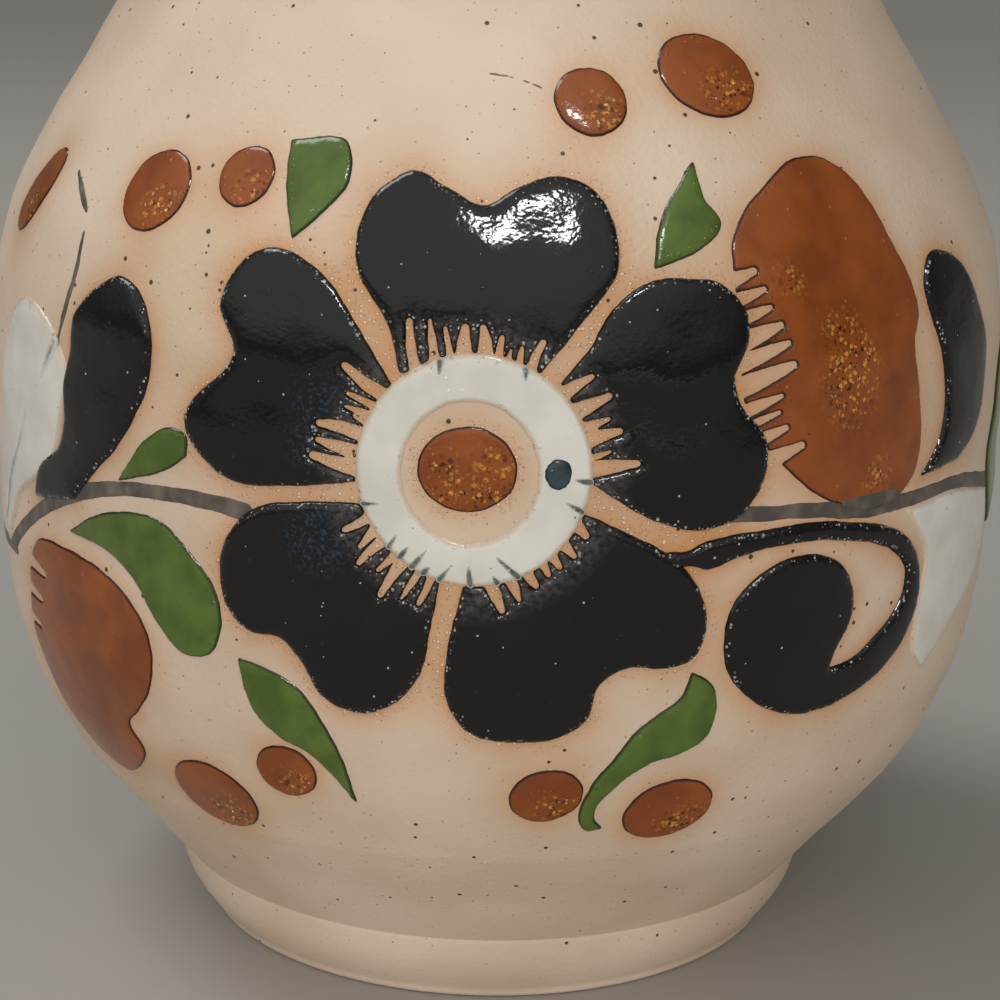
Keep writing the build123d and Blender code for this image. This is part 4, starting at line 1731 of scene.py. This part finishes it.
# Each petal's line, in hundredths of the petals' reach, and its comb
PETALS: dict[str, tuple[Line, Comb]] = {
    "top_petal": (
        ((-24, 31), (-28, 46), (-38, 62), (-38, 77), (-32, 87), (-21, 93), (-10, 88), (1.5, 83),
         (13, 89), (26, 92), (37, 87), (43, 77), (44, 63), (36, 51), (20, 31)),
        Comb(((122, 114, 0.52, 0.7), (112, 107, 0.5, 0.6), (103, 102, 0.47, 0.45),
              (95, 94, 0.46, 1.0), (85, 87, 0.46, 1.0), (78, 79, 0.44, 0.55), (73, 74, 0.41, 0.3),
              (68, 70, 0.43, 0.45), (60, 63, 0.47, 0.7))),
    ),
    "upper_left_petal": (
        ((-38, -5), (-65, -9), (-80, -9), (-92, -1), (-97, 9), (-93, 18), (-83, 27), (-79, 35),
         (-84, 48), (-79, 60), (-70, 67), (-61, 67), (-49, 60), (-39, 47), (-26, 27)),
        Comb(((139, 142, 0.53, 0.9), (147, 150, 0.47, 0.5), (153, 155, 0.46, 0.5),
              (157, 157, 0.42, 0.35), (164, 165, 0.52, 0.9), (173, 171, 0.51, 0.9),
              (182, 177, 0.52, 1.05))),
    ),
    "upper_right_petal": (
        ((27, 29), (36, 40), (43, 52), (54, 60), (65, 61), (77, 59), (86, 50), (87, 40), (83, 29),
         (86, 19), (94, 9), (94, -5), (87, -17), (73, -21), (55, -15), (37, -3)),
        Comb(((42, 40, 0.48, 0.85), (33, 30, 0.49, 1.0), (24, 22, 0.46, 0.65),
              (15, 16, 0.48, 0.95), (8, 9, 0.44, 0.4), (0, 3, 0.52, 1.0))),
    ),
    "lower_right_petal": (
        ((33, -12), (45, -18), (63, -28), (73, -39), (77, -52), (73, -65), (63, -68), (51, -67),
         (42, -73), (39, -84), (30, -91), (14, -93), (0, -90), (-8, -78), (-8, -62), (-5, -47),
         (-1, -31)),
        Comb(((334, 330, 0.42, 0.9), (323, 320, 0.43, 0.75), (315, 312, 0.42, 0.7),
              (307, 306, 0.42, 0.65), (299, 299, 0.43, 0.75), (288, 290, 0.45, 0.75),
              (277, 282, 0.47, 0.85))),
    ),
    "lower_left_petal": (
        ((-10, -34), (-13, -52), (-17, -70), (-26, -81), (-38, -85), (-50, -80), (-57, -68),
         (-64, -61), (-75, -60), (-83, -52), (-85, -38), (-81, -26), (-72, -17), (-55, -13),
         (-34, -12)),
        Comb(((204, 207, 0.47, 0.65), (211, 216, 0.45, 0.7), (219, 221, 0.49, 0.7),
              (227, 228, 0.46, 0.5), (235, 235, 0.52, 0.75), (243, 242, 0.49, 0.45),
              (250, 249, 0.48, 0.55))),
    ),
}


@dataclass
class FlowerHead(GlazeWork):
    """Main flower: five combed petals, a white ring, its dot and the eye.

    Attributes:
        azimuth: Direction that it faces in degrees.
        ring_radius: Outside of the white ring in millimetres.
        hole: Hole of that ring.
        eye_pools: Where crystals crowd in the eye.
        cobalt: Where cobalt crystals grew in the petals.
        dragged: Streaks that the comb dragged into the ring.
        spatter: How thick beads lie beside the petals and the eye, as a share.
    """

    azimuth: float = -2.0
    ring_radius: float = 7.6
    hole: Oval = Oval((-0.23, -0.08), 8.7, 9.2)
    eye: Oval = Oval((-0.38, 0.15), 6.4, 5.6)
    dot: Oval = Oval((5.4, 0.0), 1.8, 2.2)
    eye_pools: tuple[Oval, ...] = (
        Oval((-0.3, -1.5), 4.6, 1.2), Oval((-1.9, 0.5), 1.2, 1.2), Oval((1.3, 0.4), 1.4, 1.8))
    cobalt: dict[str, tuple[Oval, ...]] = field(default_factory=lambda: {
        "upper_left_petal": (Oval((-9.9, 4.3), 2.8, 2.0), Oval((-10.6, 1.4), 1.8, 2.4)),
        "lower_left_petal": (Oval((-9.8, -4.8), 4.0, 4.2),),
    })
    dragged: tuple[Line, ...] = (
        ((-6.05, -2.29), (-7.05, -2.35)), ((-4.89, -4.33), (-5.36, -5.1)),
        ((-4.14, -5.06), (-4.65, -5.76)), ((-2.9, -5.19), (-3.85, -6.32)),
        ((-2.69, -6.32), (-3.1, -6.72)), ((-1.3, -6.16), (-2.08, -7.1)),
        ((-0.21, -6.13), (-0.09, -7.4)), ((1.33, -6.76), (1.62, -7.22)),
        ((1.61, -5.57), (2.95, -6.79)), ((5.91, -1.88), (6.95, -2.53)),
        ((-2.25, 6.24), (-2.19, 7.07)), ((3.2, 5.95), (3.19, 6.68)),
        ((6.44, -0.39), (7.38, -0.56)))
    streak_widths: tuple[float, ...] = (0.1, 0.28, 0.4, 0.46)
    spatter: float = 0.9

    # How far the edge of a scratch and that of the hole draw back, and how deep the
    # scratches start below the ring
    SOFT_MM = 0.12
    HOLE_SOFT_MM = 0.2
    UNDER_RING_MM = 1.0

    def petal(self, name: str) -> Shape:
        """Region of one petal, cut by its comb and by the ring.

        Args:
            name: Name of the petal.

        Returns:
            The region.
        """
        line, comb = PETALS[name]
        root = Oval((0, 0), 2 * self.ring_radius, 2 * self.ring_radius)
        outline = Outline(smooth_line(scaled(line, self.reach, self.reach)))
        scratches = comb.strokes(self.ring_radius - self.UNDER_RING_MM, self.reach)
        return Cut(outline, (root, *scratches), self.SOFT_MM)

    def pads(self) -> list[Pad]:
        """Petals, ring, dot, eye and streaks.

        Returns:
            The areas, from the petals inwards.
        """
        here = Mark(self.azimuth, 0, 1, 1)
        disc = Oval((0, 0), 2 * self.ring_radius, 2 * self.ring_radius)
        ring = Cut(disc, (self.hole,), self.HOLE_SOFT_MM)
        streaks = Joined(tuple(
            Stroke(smooth_line(line, steps=4), self.streak_widths) for line in self.dragged
        ))
        petals = [
            self.pad(name, BLACK, here, self.petal(name), step=0.16, pitch=0.11,
                     pools=self.cobalt.get(name, ()), comb_reach=10.0, spatter=self.spatter)
            for name in PETALS
        ]
        return petals + [
            self.pad("white_ring", WHITE, here, ring, step=0.18),
            self.pad("ring_dot", TEAL, here, self.dot, base_lift=0.1),
            self.pad("flower_eye", AMBER, here, self.eye, pools=self.eye_pools,
                     spatter=self.spatter),
            self.pad("dragged_streaks", SMEAR, here, streaks, node=None, base_lift=0.255,
                     step=0.1, pitch=0.06),
        ]


@dataclass
class SideBuds(GlazeWork):
    """Two brown buds, combed on the side that faces the flower.

    Attributes:
        right_tips: Inner ends of the large bud's scratches as shares of its size, with
            each one's width as a share of the widest.
        right_turn: Direction in which those scratches run out, in degrees.
        scratch_length: Length of a scratch in millimetres.
        scratch_width: Width of the widest one.
        right_pools: Where crystals crowd in the large bud.
    """

    right: Mark = Mark(34.0, 0.4, 0.885, 1.18, ((
        (8, 48), (-6, 47), (-18, 42), (-31, 35), (-40, 26), (-42, 10), (-42, -10), (-36, -24),
        (-19, -38), (2, -48), (30, -52), (48, -46), (52, -33), (50, -19), (46, -6), (50, 3),
        (46, 12), (38, 23), (32, 33), (22, 43)),))
    left: Mark = Mark(-49.0, -0.925, 0.865, 0.9, ((
        (-30, 48), (-5, 50), (20, 47), (36, 40), (46, 28), (48, 15), (44, 2), (32, -11), (23, -19),
        (27, -29), (22, -36), (0, -48), (-21, -43), (-41, -22), (-50, 0), (-48, 22), (-40, 38)),))
    right_tips: Tips = (
        (-0.33, 0.19, 0.9), (-0.3, 0.14, 0.8), (-0.28, 0.09, 0.8), (-0.24, 0.04, 1.0),
        (-0.21, -0.01, 0.85), (-0.19, -0.07, 1.0), (-0.245, -0.155, 0.75), (-0.25, -0.2, 0.5),
        (-0.22, -0.245, 0.8), (-0.15, -0.3, 1.0))
    left_tips: Tips = (
        (-0.26, 0.34, 0.9), (-0.34, 0.21, 0.8), (-0.39, 0.08, 0.6))
    right_turn: float = 197.0
    left_turn: float = 170.0
    scratch_length: float = 4.6
    scratch_width: float = 1.5
    right_pools: tuple[Oval, ...] = (
        Oval((1.5, -2.9), 4.0, 5.6), Oval((0.6, 0.3), 2.0, 1.6), Oval((-3.3, 3.7), 1.0, 0.8),
        Oval((4.4, -10.0), 1.6, 1.6))

    # How far a scratch's edge draws back
    SOFT_MM = 0.12

    def bud(self, mark: Mark, tips: Tips, turn: float) -> Shape:
        """Region of a bud, with scratches dragged in from its edge.

        Args:
            mark: The bud's mark.
            tips: Inner ends of its scratches, each with its share of the widest width.
            turn: Direction from a tip to the edge in degrees.

        Returns:
            The region.
        """
        size = (self.reach * mark.width, self.reach * mark.length)
        way = heading(turn) * self.scratch_length
        scratches = []
        for x, y, share in tips:
            tip, width = np.array([x, y]) * size, self.scratch_width * share
            line = np.linspace(tip, tip + way, 4)
            scratches.append(Stroke(line, (0.35 * width, 0.8 * width, width)))
        outline = Outline(mark.runs(self.reach, closed=True)[0])
        return Cut(outline, tuple(scratches), self.SOFT_MM)

    def pads(self) -> list[Pad]:
        """Both buds.

        Returns:
            Their areas.
        """
        return [
            self.pad(name, AMBER, mark, self.bud(mark, tips, turn), step=0.18, pitch=0.12,
                     pools=pools)
            for name, mark, tips, turn, pools in (
                ("right_bud", self.right, self.right_tips, self.right_turn, self.right_pools),
                ("left_bud", self.left, self.left_tips, self.left_turn, ()),
            )
        ]


@dataclass
class BrushMarks(GlazeWork):
    """Dark lobes, the scroll, the white strokes and the grey stems at the front.

    Attributes:
        bud_strokes: Two thin strokes above the white bud.
        bud_foot: Smear where the right bud meets its stem.
        hair: Hair line beside a berry.
        widths: Widths in millimetres of the marks that follow a line.
    """

    left_lobe: Mark = Mark(-46.0, 0.1, 0.725, 0.865, (
        ((-50, -50), (-40, -34), (-20, -23), (-13, -10), (-14, 4), (-9, 18), (-5, 33), (9, 44),
         (26, 50), (41, 44), (50, 30), (49, 12), (41, -3), (28, -17), (10, -30), (-7, -44)),
        ((-7, -44), (-50, -50))))
    right_lobe: Mark = Mark(55.0, 0.25, 0.53, 0.775, (
        ((-47, -51), (-28, -37), (-19, -18), (-27, 5), (-38, 22), (-43, 36), (-33, 47), (-17, 49),
         (8, 43), (32, 27), (50, 2), (46, -24), (26, -41), (4, -49)),
        ((4, -49), (-47, -51))))
    scroll: Mark = Mark(34.0, -0.6, 1.08, 0.665, (
        ((-60, 48), (-54.5, 49), (-50, 49), (-44, 53), (-35, 55), (-23, 56), (-4, 56.5), (10, 53),
         (27, 47), (40, 36), (47, 21), (49, 6), (47, -9), (41, -25), (31, -37), (19, -44),
         (8, -48), (-6, -48), (-18, -41), (-28, -29), (-34, -16), (-36, -1), (-35, 13), (-31, 25),
         (-23, 35), (-13, 40), (-3, 39), (6, 33), (11, 24), (14, 11), (13, -1), (9, -12),
         (6, -25)),
        ((6, -25), (17, -23), (27, -13), (36, -2), (40, 10), (39.5, 20), (33, 30), (23, 38),
         (10, 43), (-4, 46.5), (-23, 46), (-33, 43.5), (-39, 40), (-44, 38.6), (-48, 40.5),
         (-54, 41), (-60, 42)),
        ((-60, 42), (-60, 48))))
    white_bud: Mark = Mark(-59.0, -0.1, 0.685, 0.995, (
        ((-44, -51), (-52, -20), (-42, 10), (-26, 34), (2, 49), (34, 43), (47, 34)),
        ((47, 34), (55, 26), (49, 12), (40, -4), (16, -16), (-12, -26), (-28, -37), (-44, -51))))
    white_leaf: Mark = Mark(57.0, -0.55, 0.795, 0.655, (
        ((-50, 46), (-10, 48), (42, 37)),
        ((42, 37), (50, 10), (40, -12), (16, -29), (-17, -54)),
        ((-17, -54), (-30, -40), (-33, -12), (-30, 14), (-50, 46))))
    left_stem: Mark = Mark(-45.0, -0.4, 1.415, 0.415, (
        ((50, 51), (38, 55), (16, 52), (0, 41), (-14, 24), (-28, 2), (-40, -22), (-50, -45)),))
    right_stem: Mark = Mark(49.0, -0.25, 1.595, 0.155, (
        ((-56.7, 60), (-52, 52), (-37, 44), (-22, 24), (-7, 22), (18, 18), (49, -46)),))
    bud_strokes: Mark = Mark(-50.5, 0.6, 0.23, 0.75, (
        ((-5, -46), (14, -33), (33, -12), (33, 7)),
        ((27, 15), (-4, 22), (-48, 32))))
    bud_veins: Mark = Mark(-59.0, -0.1, 0.685, 0.995, (
        ((10, 10), (-3, -5), (-26, -24), (-41, -42)),
        ((28, 23), (35, 30), (42, 37))))
    bud_foot: Mark = Mark(40.0, -0.17, 0.3, 0.1, (
        ((-46, -6), (-6, -14), (42, -14)),))
    hair: Mark = Mark(2.0, 1.2, 0.22, 0.06, (
        ((-50, 50), (0, 20), (50, -50)),))
    widths: dict[str, tuple[float, ...]] = field(default_factory=lambda: {
        "left_stem": (1.25, 1.0, 1.2, 1.05, 1.25), "right_stem": (1.25, 1.0, 1.2, 1.05, 1.25),
        "bud_strokes": (0.2, 0.5, 0.55, 0.25), "bud_veins": (0.3, 0.7, 0.9, 0.8),
        "bud_foot": (0.5, 1.2, 0.8), "hair": (0.05, 0.12, 0.09),
    })

    def pads(self) -> list[Pad]:
        """Lobes, scroll, white strokes with their veins, and stems.

        Returns:
            The areas.
        """
        made = []
        for coat, names in (
            (BLACK, ("left_lobe", "right_lobe", "scroll")), (WHITE, ("white_bud", "white_leaf")),
        ):
            for name in names:
                mark = getattr(self, name)
                made.append(self.pad(name, coat, mark, mark.outline(self.reach)))
        fine = {"node": None, "step": 0.14, "pitch": 0.1}
        for line, name, coat, more in (
            ("left_stem", "left_stem", WASH, {}),
            ("right_stem", "right_stem", WASH, {}),
            ("bud_strokes", "bud_strokes", WASH, {}),
            ("bud_veins", "white_bud_veins", VEIN, {"node": None, "base_lift": 0.25}),
            ("bud_foot", "bud_foot_wash", WASH, {"base_lift": 0.13, **fine}),
            ("hair", "hair_line", WASH, fine),
        ):
            mark = getattr(self, line)
            shape = mark.strokes(self.reach, self.widths[line])
            made.append(self.pad(name, coat, mark, shape, **more))
        return made


@dataclass
class Leaves(GlazeWork):
    """Green leaves at the front."""

    marks: dict[str, Mark] = field(default_factory=lambda: {
        "upper_left_leaf": Mark(-19.0, 0.85, 0.245, 0.31, (
            ((-50, 50), (7, 56), (30, 52), (42, 37), (45, 12), (28, -10), (-21, -48)),
            ((-21, -48), (-44, 5), (-50, 50)))),
        "upper_right_leaf": Mark(19.0, 0.8, 0.25, 0.335, (
            ((20, 50), (26, 15), (45, -6), (36, -19), (-3, -36), (-56, -48)),
            ((-56, -48), (-41, -7), (-5, 30), (20, 50)))),
        "small_left_leaf": Mark(-35.0, -0.05, 0.35, 0.225, (
            ((-53, -52), (-13, 20), (21, 49), (42, 40), (42, 8)),
            ((42, 8), (12, -21), (-53, -52)))),
        "middle_left_leaf": Mark(-38.0, -0.5, 0.75, 0.47, (
            ((-52, 20), (-28, 40), (-4, 50), (18, 48), (34, 29), (47, 3), (49, -24), (40, -47),
             (24, -49), (11, -29), (-2, -1), (-21, 15), (-52, 20)),)),
        "lower_left_leaf": Mark(-20.0, -0.95, 0.385, 0.52, (
            ((-51, 47), (-16, 41), (11, 29), (30, 8), (42, -14), (50, -53)),
            ((50, -53), (29, -29), (10, -15), (-13, -7), (-35, 7), (-47, 27), (-51, 47)))),
        "lower_right_leaf": Mark(16.0, -1.0, 0.44, 0.605, (
            ((28, 50), (47, 40), (52, 23), (43, 6), (22, -2), (2, -6), (-18, -17), (-33, -31),
             (-35, -41), (-26, -50)),
            ((-26, -50), (-40, -51), (-48, -39), (-42, -18), (-28, -1), (-13, 16), (3, 25),
             (22, 36), (28, 50)))),
        "far_right_leaf": Mark(73.5, -0.125, 0.45, 0.75, (
            ((20, 50), (-20, 28), (-46, -2), (-40, -28), (-10, -50)),
            ((-10, -50), (28, -25), (46, 2), (40, 28), (20, 50)))),
    })

    def pads(self) -> list[Pad]:
        """One area for each leaf."""
        marks = self.marks.items()
        return [self.pad(n, GREEN, m, m.outline(self.reach), step=0.18) for n, m in marks]


@dataclass
class Berries(GlazeWork):
    """Brown dabs of the front.

    Attributes:
        dabs: Each dab with the tilt of its brush.
        prefix: Start of the pieces' names.
        domed: Number of the dab that stands up as a drop.
    """

    dabs: tuple[tuple[Mark, float], ...] = (
        (Mark(-62.5, 0.75, 0.18, 0.37), -38.0), (Mark(-38.7, 0.815, 0.3, 0.26), 20.0),
        (Mark(-27.3, 0.885, 0.21, 0.19), 15.0), (Mark(10.0, 1.145, 0.24, 0.21), -8.0),
        (Mark(24.8, 1.225, 0.35, 0.26), -12.0), (Mark(-32.6, -1.302, 0.36, 0.284), -3.0),
        (Mark(-21.7, -1.12, 0.23, 0.207), 5.0), (Mark(5.8, -1.15, 0.256, 0.217), 15.0),
        (Mark(19.5, -1.244, 0.33, 0.256), 8.0),
    )
    prefix: str = "berry"
    node: str = "berries"
    domed: int = 4
    drop: Relief = Relief(0.33, 1.3)

    def dab(self, number: int, mark: Mark, tilt: float) -> Pad:
        """Area of one dab, whose glaze ran together at its lower right.

        Args:
            number: Its number.
            mark: Its place and size.
            tilt: Tilt of its brush in degrees.

        Returns:
            The area.
        """
        width, length = self.reach * mark.width, self.reach * mark.length
        pool = Oval((0.16 * width, -0.2 * length), 0.4 * width, 0.3 * length)
        coat = replace(AMBER, relief=self.drop) if number == self.domed else AMBER
        return self.pad(
            f"{self.prefix}_{number}", coat, mark, Oval((0, 0), width, length, tilt),
            node=self.node, step=0.18, pools=(pool,),
        )

    def pads(self) -> list[Pad]:
        """One area for each dab."""
        return [self.dab(number, mark, tilt) for number, (mark, tilt) in enumerate(self.dabs, 1)]


@dataclass
class BackBand(GlazeWork):
    """Band behind: a white flower with an eye, lobes, leaves and stems.

    Attributes:
        petal_size: Width and length of a petal in millimetres.
        petal_root: Where a petal starts, from the flower's middle.
        eye_size: Width of the eye.
        leaf_places: Direction and rise of each leaf.
        lobe_places: Direction and rise of each lobe.
    """

    flower: Mark = Mark(180.0, -0.05, 1, 1)
    petal_size: tuple[float, float] = (11.5, 10.5)
    petal_root: float = 3.4
    eye_size: float = 6.0
    petal_line: Line = (
        (-10, -50), (-34, -20), (-50, 14), (-42, 42), (-20, 50), (0, 38), (20, 50), (42, 42),
        (50, 14), (34, -20), (10, -50))
    leaf: tuple[Line, ...] = (
        ((-50, 20), (-22, 44), (8, 48), (34, 26), (50, -24)),
        ((50, -24), (26, -34), (0, -12), (-22, 8), (-50, 20)))
    leaf_places: Line = ((100.0, -0.7), (150.0, -0.775), (232.0, -0.8), (262.0, 0.15))
    lobe_places: Line = ((97.0, 0.35), (126.0, -0.75), (222.0, 0.5))
    right_stem: Mark = Mark(118.0, -0.25, 2.8, 0.3, (
        ((-50.5, -25), (-32, -34), (-10, -8), (16, 22), (36, 34), (50, 42)),))
    left_stem: Mark = Mark(248.0, -0.375, 2.85, 0.45, (
        ((50.5, -50), (36, -56), (16, -25), (-8, 22), (-30, 40), (-50, 44)),))
    stem_widths: tuple[float, ...] = (1.2, 1.0, 1.2, 1.05, 1.2)

    def petals(self) -> list[Pad]:
        """Five petals round the flower's middle.

        Returns:
            Their areas.
        """
        points = np.array(scaled(self.petal_line, *self.petal_size))
        points[:, 1] += self.petal_root + self.petal_size[1] / 2
        line = smooth_line(points)
        made = []
        for number in range(5):
            turn = radians(72 * number)
            spin = np.array([[cos(turn), sin(turn)], [-sin(turn), cos(turn)]])
            made.append(
                self.pad(f"back_petal_{number + 1}", WHITE, self.flower, Outline(line @ spin))
            )
        return made

    def pads(self) -> list[Pad]:
        """Petals, eye, leaves, lobes and stems.

        Returns:
            The areas.
        """
        made = self.petals()
        eye = Oval((0, 0), self.eye_size, self.eye_size)
        pool = Oval((0.4, -1.3), 3.0, 1.4)
        made.append(self.pad("back_eye", AMBER, self.flower, eye, pools=(pool,)))
        for number, place in enumerate(self.leaf_places, 1):
            mark = Mark(*place, 0.6, 0.425, self.leaf)
            shape = mark.outline(self.reach)
            made.append(self.pad(f"back_leaf_{number}", GREEN, mark, shape, step=0.18))
        for number, place in enumerate(self.lobe_places, 1):
            mark = Mark(*place, 0.725, 0.865, BrushMarks.left_lobe.lines)
            made.append(self.pad(f"back_lobe_{number}", BLACK, mark, mark.outline(self.reach)))
        for side in ("right", "left"):
            mark = getattr(self, f"{side}_stem")
            shape = mark.strokes(self.reach, self.stem_widths)
            made.append(self.pad(f"back_{side}_stem", WASH, mark, shape))
        return made


BACK_DABS = (
    (Mark(152.0, 0.925, 0.28, 0.24), 12.0), (Mark(166.0, 1.05, 0.22, 0.2), 0.0),
    (Mark(196.0, 1.025, 0.23, 0.2), -6.0), (Mark(209.0, 0.875, 0.3, 0.25), -15.0),
    (Mark(118.0, 0.65, 0.26, 0.29), 8.0), (Mark(243.0, 0.6, 0.27, 0.3), -8.0),
    (Mark(170.0, -1.15, 0.26, 0.21), 6.0), (Mark(192.0, -1.175, 0.31, 0.22), -8.0),
)


# Studio


@dataclass(frozen=True)
class Lamp:
    """Soft lamp that faces the pot.

    Attributes:
        azimuth: Degrees from -Y towards +X.
        elevation: Degrees above the floor.
        distance: Metres from the pot.
        size: Width and height in metres.
        power: Watts.
        lights_clay: Whether it lights dull surfaces.
        shows_in_gloss: Whether glossy ones reflect it.
    """

    name: str
    azimuth: float
    elevation: float
    distance: float
    size: tuple[float, float]
    power: float
    lights_clay: bool = True
    shows_in_gloss: bool = True

    def build(self) -> None:
        """Hang the lamp."""
        data = bpy.data.lights.new(self.name, "AREA")
        data.shape = "RECTANGLE"
        data.size, data.size_y = self.size
        data.energy = self.power
        lamp = bpy.data.objects.new(self.name, data)
        aim = Vector((0, 0, 0.045))
        lamp.location = aim + self.distance * toward(self.azimuth, self.elevation)
        lamp.rotation_euler = (aim - lamp.location).to_track_quat("-Z", "Y").to_euler()
        lamp.visible_diffuse = self.lights_clay
        lamp.visible_glossy = self.shows_in_gloss
        bpy.context.scene.collection.objects.link(lamp)


@dataclass(frozen=True)
class Studio:
    """Pale floor, soft light and the camera, in metres and degrees.

    Attributes:
        distance: From the camera to the point that it faces.
        elevation: Angle of the camera above that point.
        aim_height: Height of that point.
        lens: Focal length in millimetres.
        roll: Turn of the camera about its own axis.
        pale_azimuth: Where the room is palest, from -Y towards +X.
        pale_light: How much stronger the room shines there than its room_light.
    """

    distance: float = 0.17953
    elevation: float = 14.21
    aim_height: float = 0.03308
    lens: float = 77.9
    shift: float = 0.0053
    roll: float = 0.97
    floor_reach: float = 30.0
    lamps: tuple[Lamp, ...] = (
        Lamp("left_box", -100, 62, 1.2, (0.55, 0.55), 4.9),
        # The small lamp gives the glazes their highlight, and the clay no light
        Lamp("small_lamp", 6.5, 46.5, 0.8, (0.21, 0.06), 1.5, lights_clay=False),
        # The low fill lights the foot, and the glazes reflect the room in its place
        Lamp("low_fill", 5, 6, 1.0, (1.2, 0.2), 5.0, shows_in_gloss=False),
    )
    pale_azimuth: float = -20.0
    pale_elevation: float = 35.0
    pale_light: float = 0.8
    room_light: float = 0.16

    def build_camera(self) -> None:
        """Set the camera at the photograph's viewing angle."""
        data = bpy.data.cameras.new("camera")
        data.lens, data.shift_x = self.lens, self.shift
        data.clip_start, data.clip_end = 0.01, 100
        camera = bpy.data.objects.new("camera", data)
        aim = Vector((0, 0, self.aim_height))
        camera.location = aim + self.distance * toward(0, self.elevation)
        facing = (aim - camera.location).to_track_quat("-Z", "Y").to_matrix().to_4x4()
        roll = Matrix.Rotation(radians(self.roll), 4, "Z")
        camera.matrix_world = Matrix.Translation(camera.location) @ facing @ roll
        bpy.context.scene.collection.objects.link(camera)
        bpy.context.scene.camera = camera

    def build_floor(self) -> None:
        """Lay the floor."""
        mesh = bpy.data.meshes.new("floor")
        corners = [(-1, -1), (1, -1), (1, 1), (-1, 1)]
        mesh.from_pydata(
            [(x * self.floor_reach, y * self.floor_reach, 0) for x, y in corners],
            [], [(0, 1, 2, 3)],
        )
        # Pale matt paper, which gives the glazes a plain thing to reflect
        material = bpy.data.materials.new("matt_paper_floor")
        material.use_nodes = True
        shader = material.node_tree.nodes["Principled BSDF"]
        shader.inputs["Base Color"].default_value = linear("#ABA8A3")
        shader.inputs["Roughness"].default_value = 0.8
        mesh.materials.append(material)
        floor = bpy.data.objects.new("floor", mesh)
        bpy.context.scene.collection.objects.link(floor)

    def build_room(self) -> None:
        """Surround the pot with a room that is palest in front of it, above the floor."""
        world = bpy.data.worlds.new("room")
        world.use_nodes = True
        tree = world.node_tree
        back = tree.nodes["Background"]
        back.inputs["Color"].default_value = linear("#E4E2DE")
        direction = add_node(tree, "TexCoord", output="Generated")
        nearness = add_node(
            tree, "VectorMath",
            {"operation": "DOT_PRODUCT", 1: toward(self.pale_azimuth, self.pale_elevation)},
            {0: direction}, output="Value",
        )
        glow = add_node(
            tree, "MapRange",
            {"interpolation_type": "SMOOTHSTEP", "From Min": 0.1, "From Max": 0.9,
             "To Max": self.pale_light},
            {"Value": nearness},
        )
        height = add_node(tree, "SeparateXYZ", links={0: direction}, output="Z")
        above = add_node(
            tree, "MapRange",
            {"interpolation_type": "SMOOTHSTEP", "From Min": -0.02, "From Max": 0.25},
            {"Value": height},
        )
        strength = add_node(
            tree, "Math", {"operation": "MULTIPLY_ADD", 2: self.room_light},
            {0: glow, 1: above},
        )
        tree.links.new(strength, back.inputs["Strength"])
        bpy.context.scene.world = world

    def build(self) -> None:
        """Build the whole studio."""
        self.build_camera()
        self.build_floor()
        for lamp in self.lamps:
            lamp.build()
        self.build_room()
        bpy.context.scene.view_settings.view_transform = "Standard"


def main() -> None:
    """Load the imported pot, dress it and light it."""
    logging.basicConfig(level=logging.INFO, format="%(message)s")
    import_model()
    works: tuple[GlazeWork, ...] = (
        FlowerHead(), SideBuds(), BrushMarks(), Leaves(), Berries(), BackBand(),
        Berries(dabs=BACK_DABS, prefix="back_berry", node="back_berries"),
    )
    pads = [pad for work in works for pad in work.pads()]
    wall = Wall()
    pot = ThrownPot(wall)
    pot.build_wall(pads)
    pot.build_foot()
    for pad in pads:
        pad.build(wall)
    Studio().build()


if __name__ == "__main__":
    main()
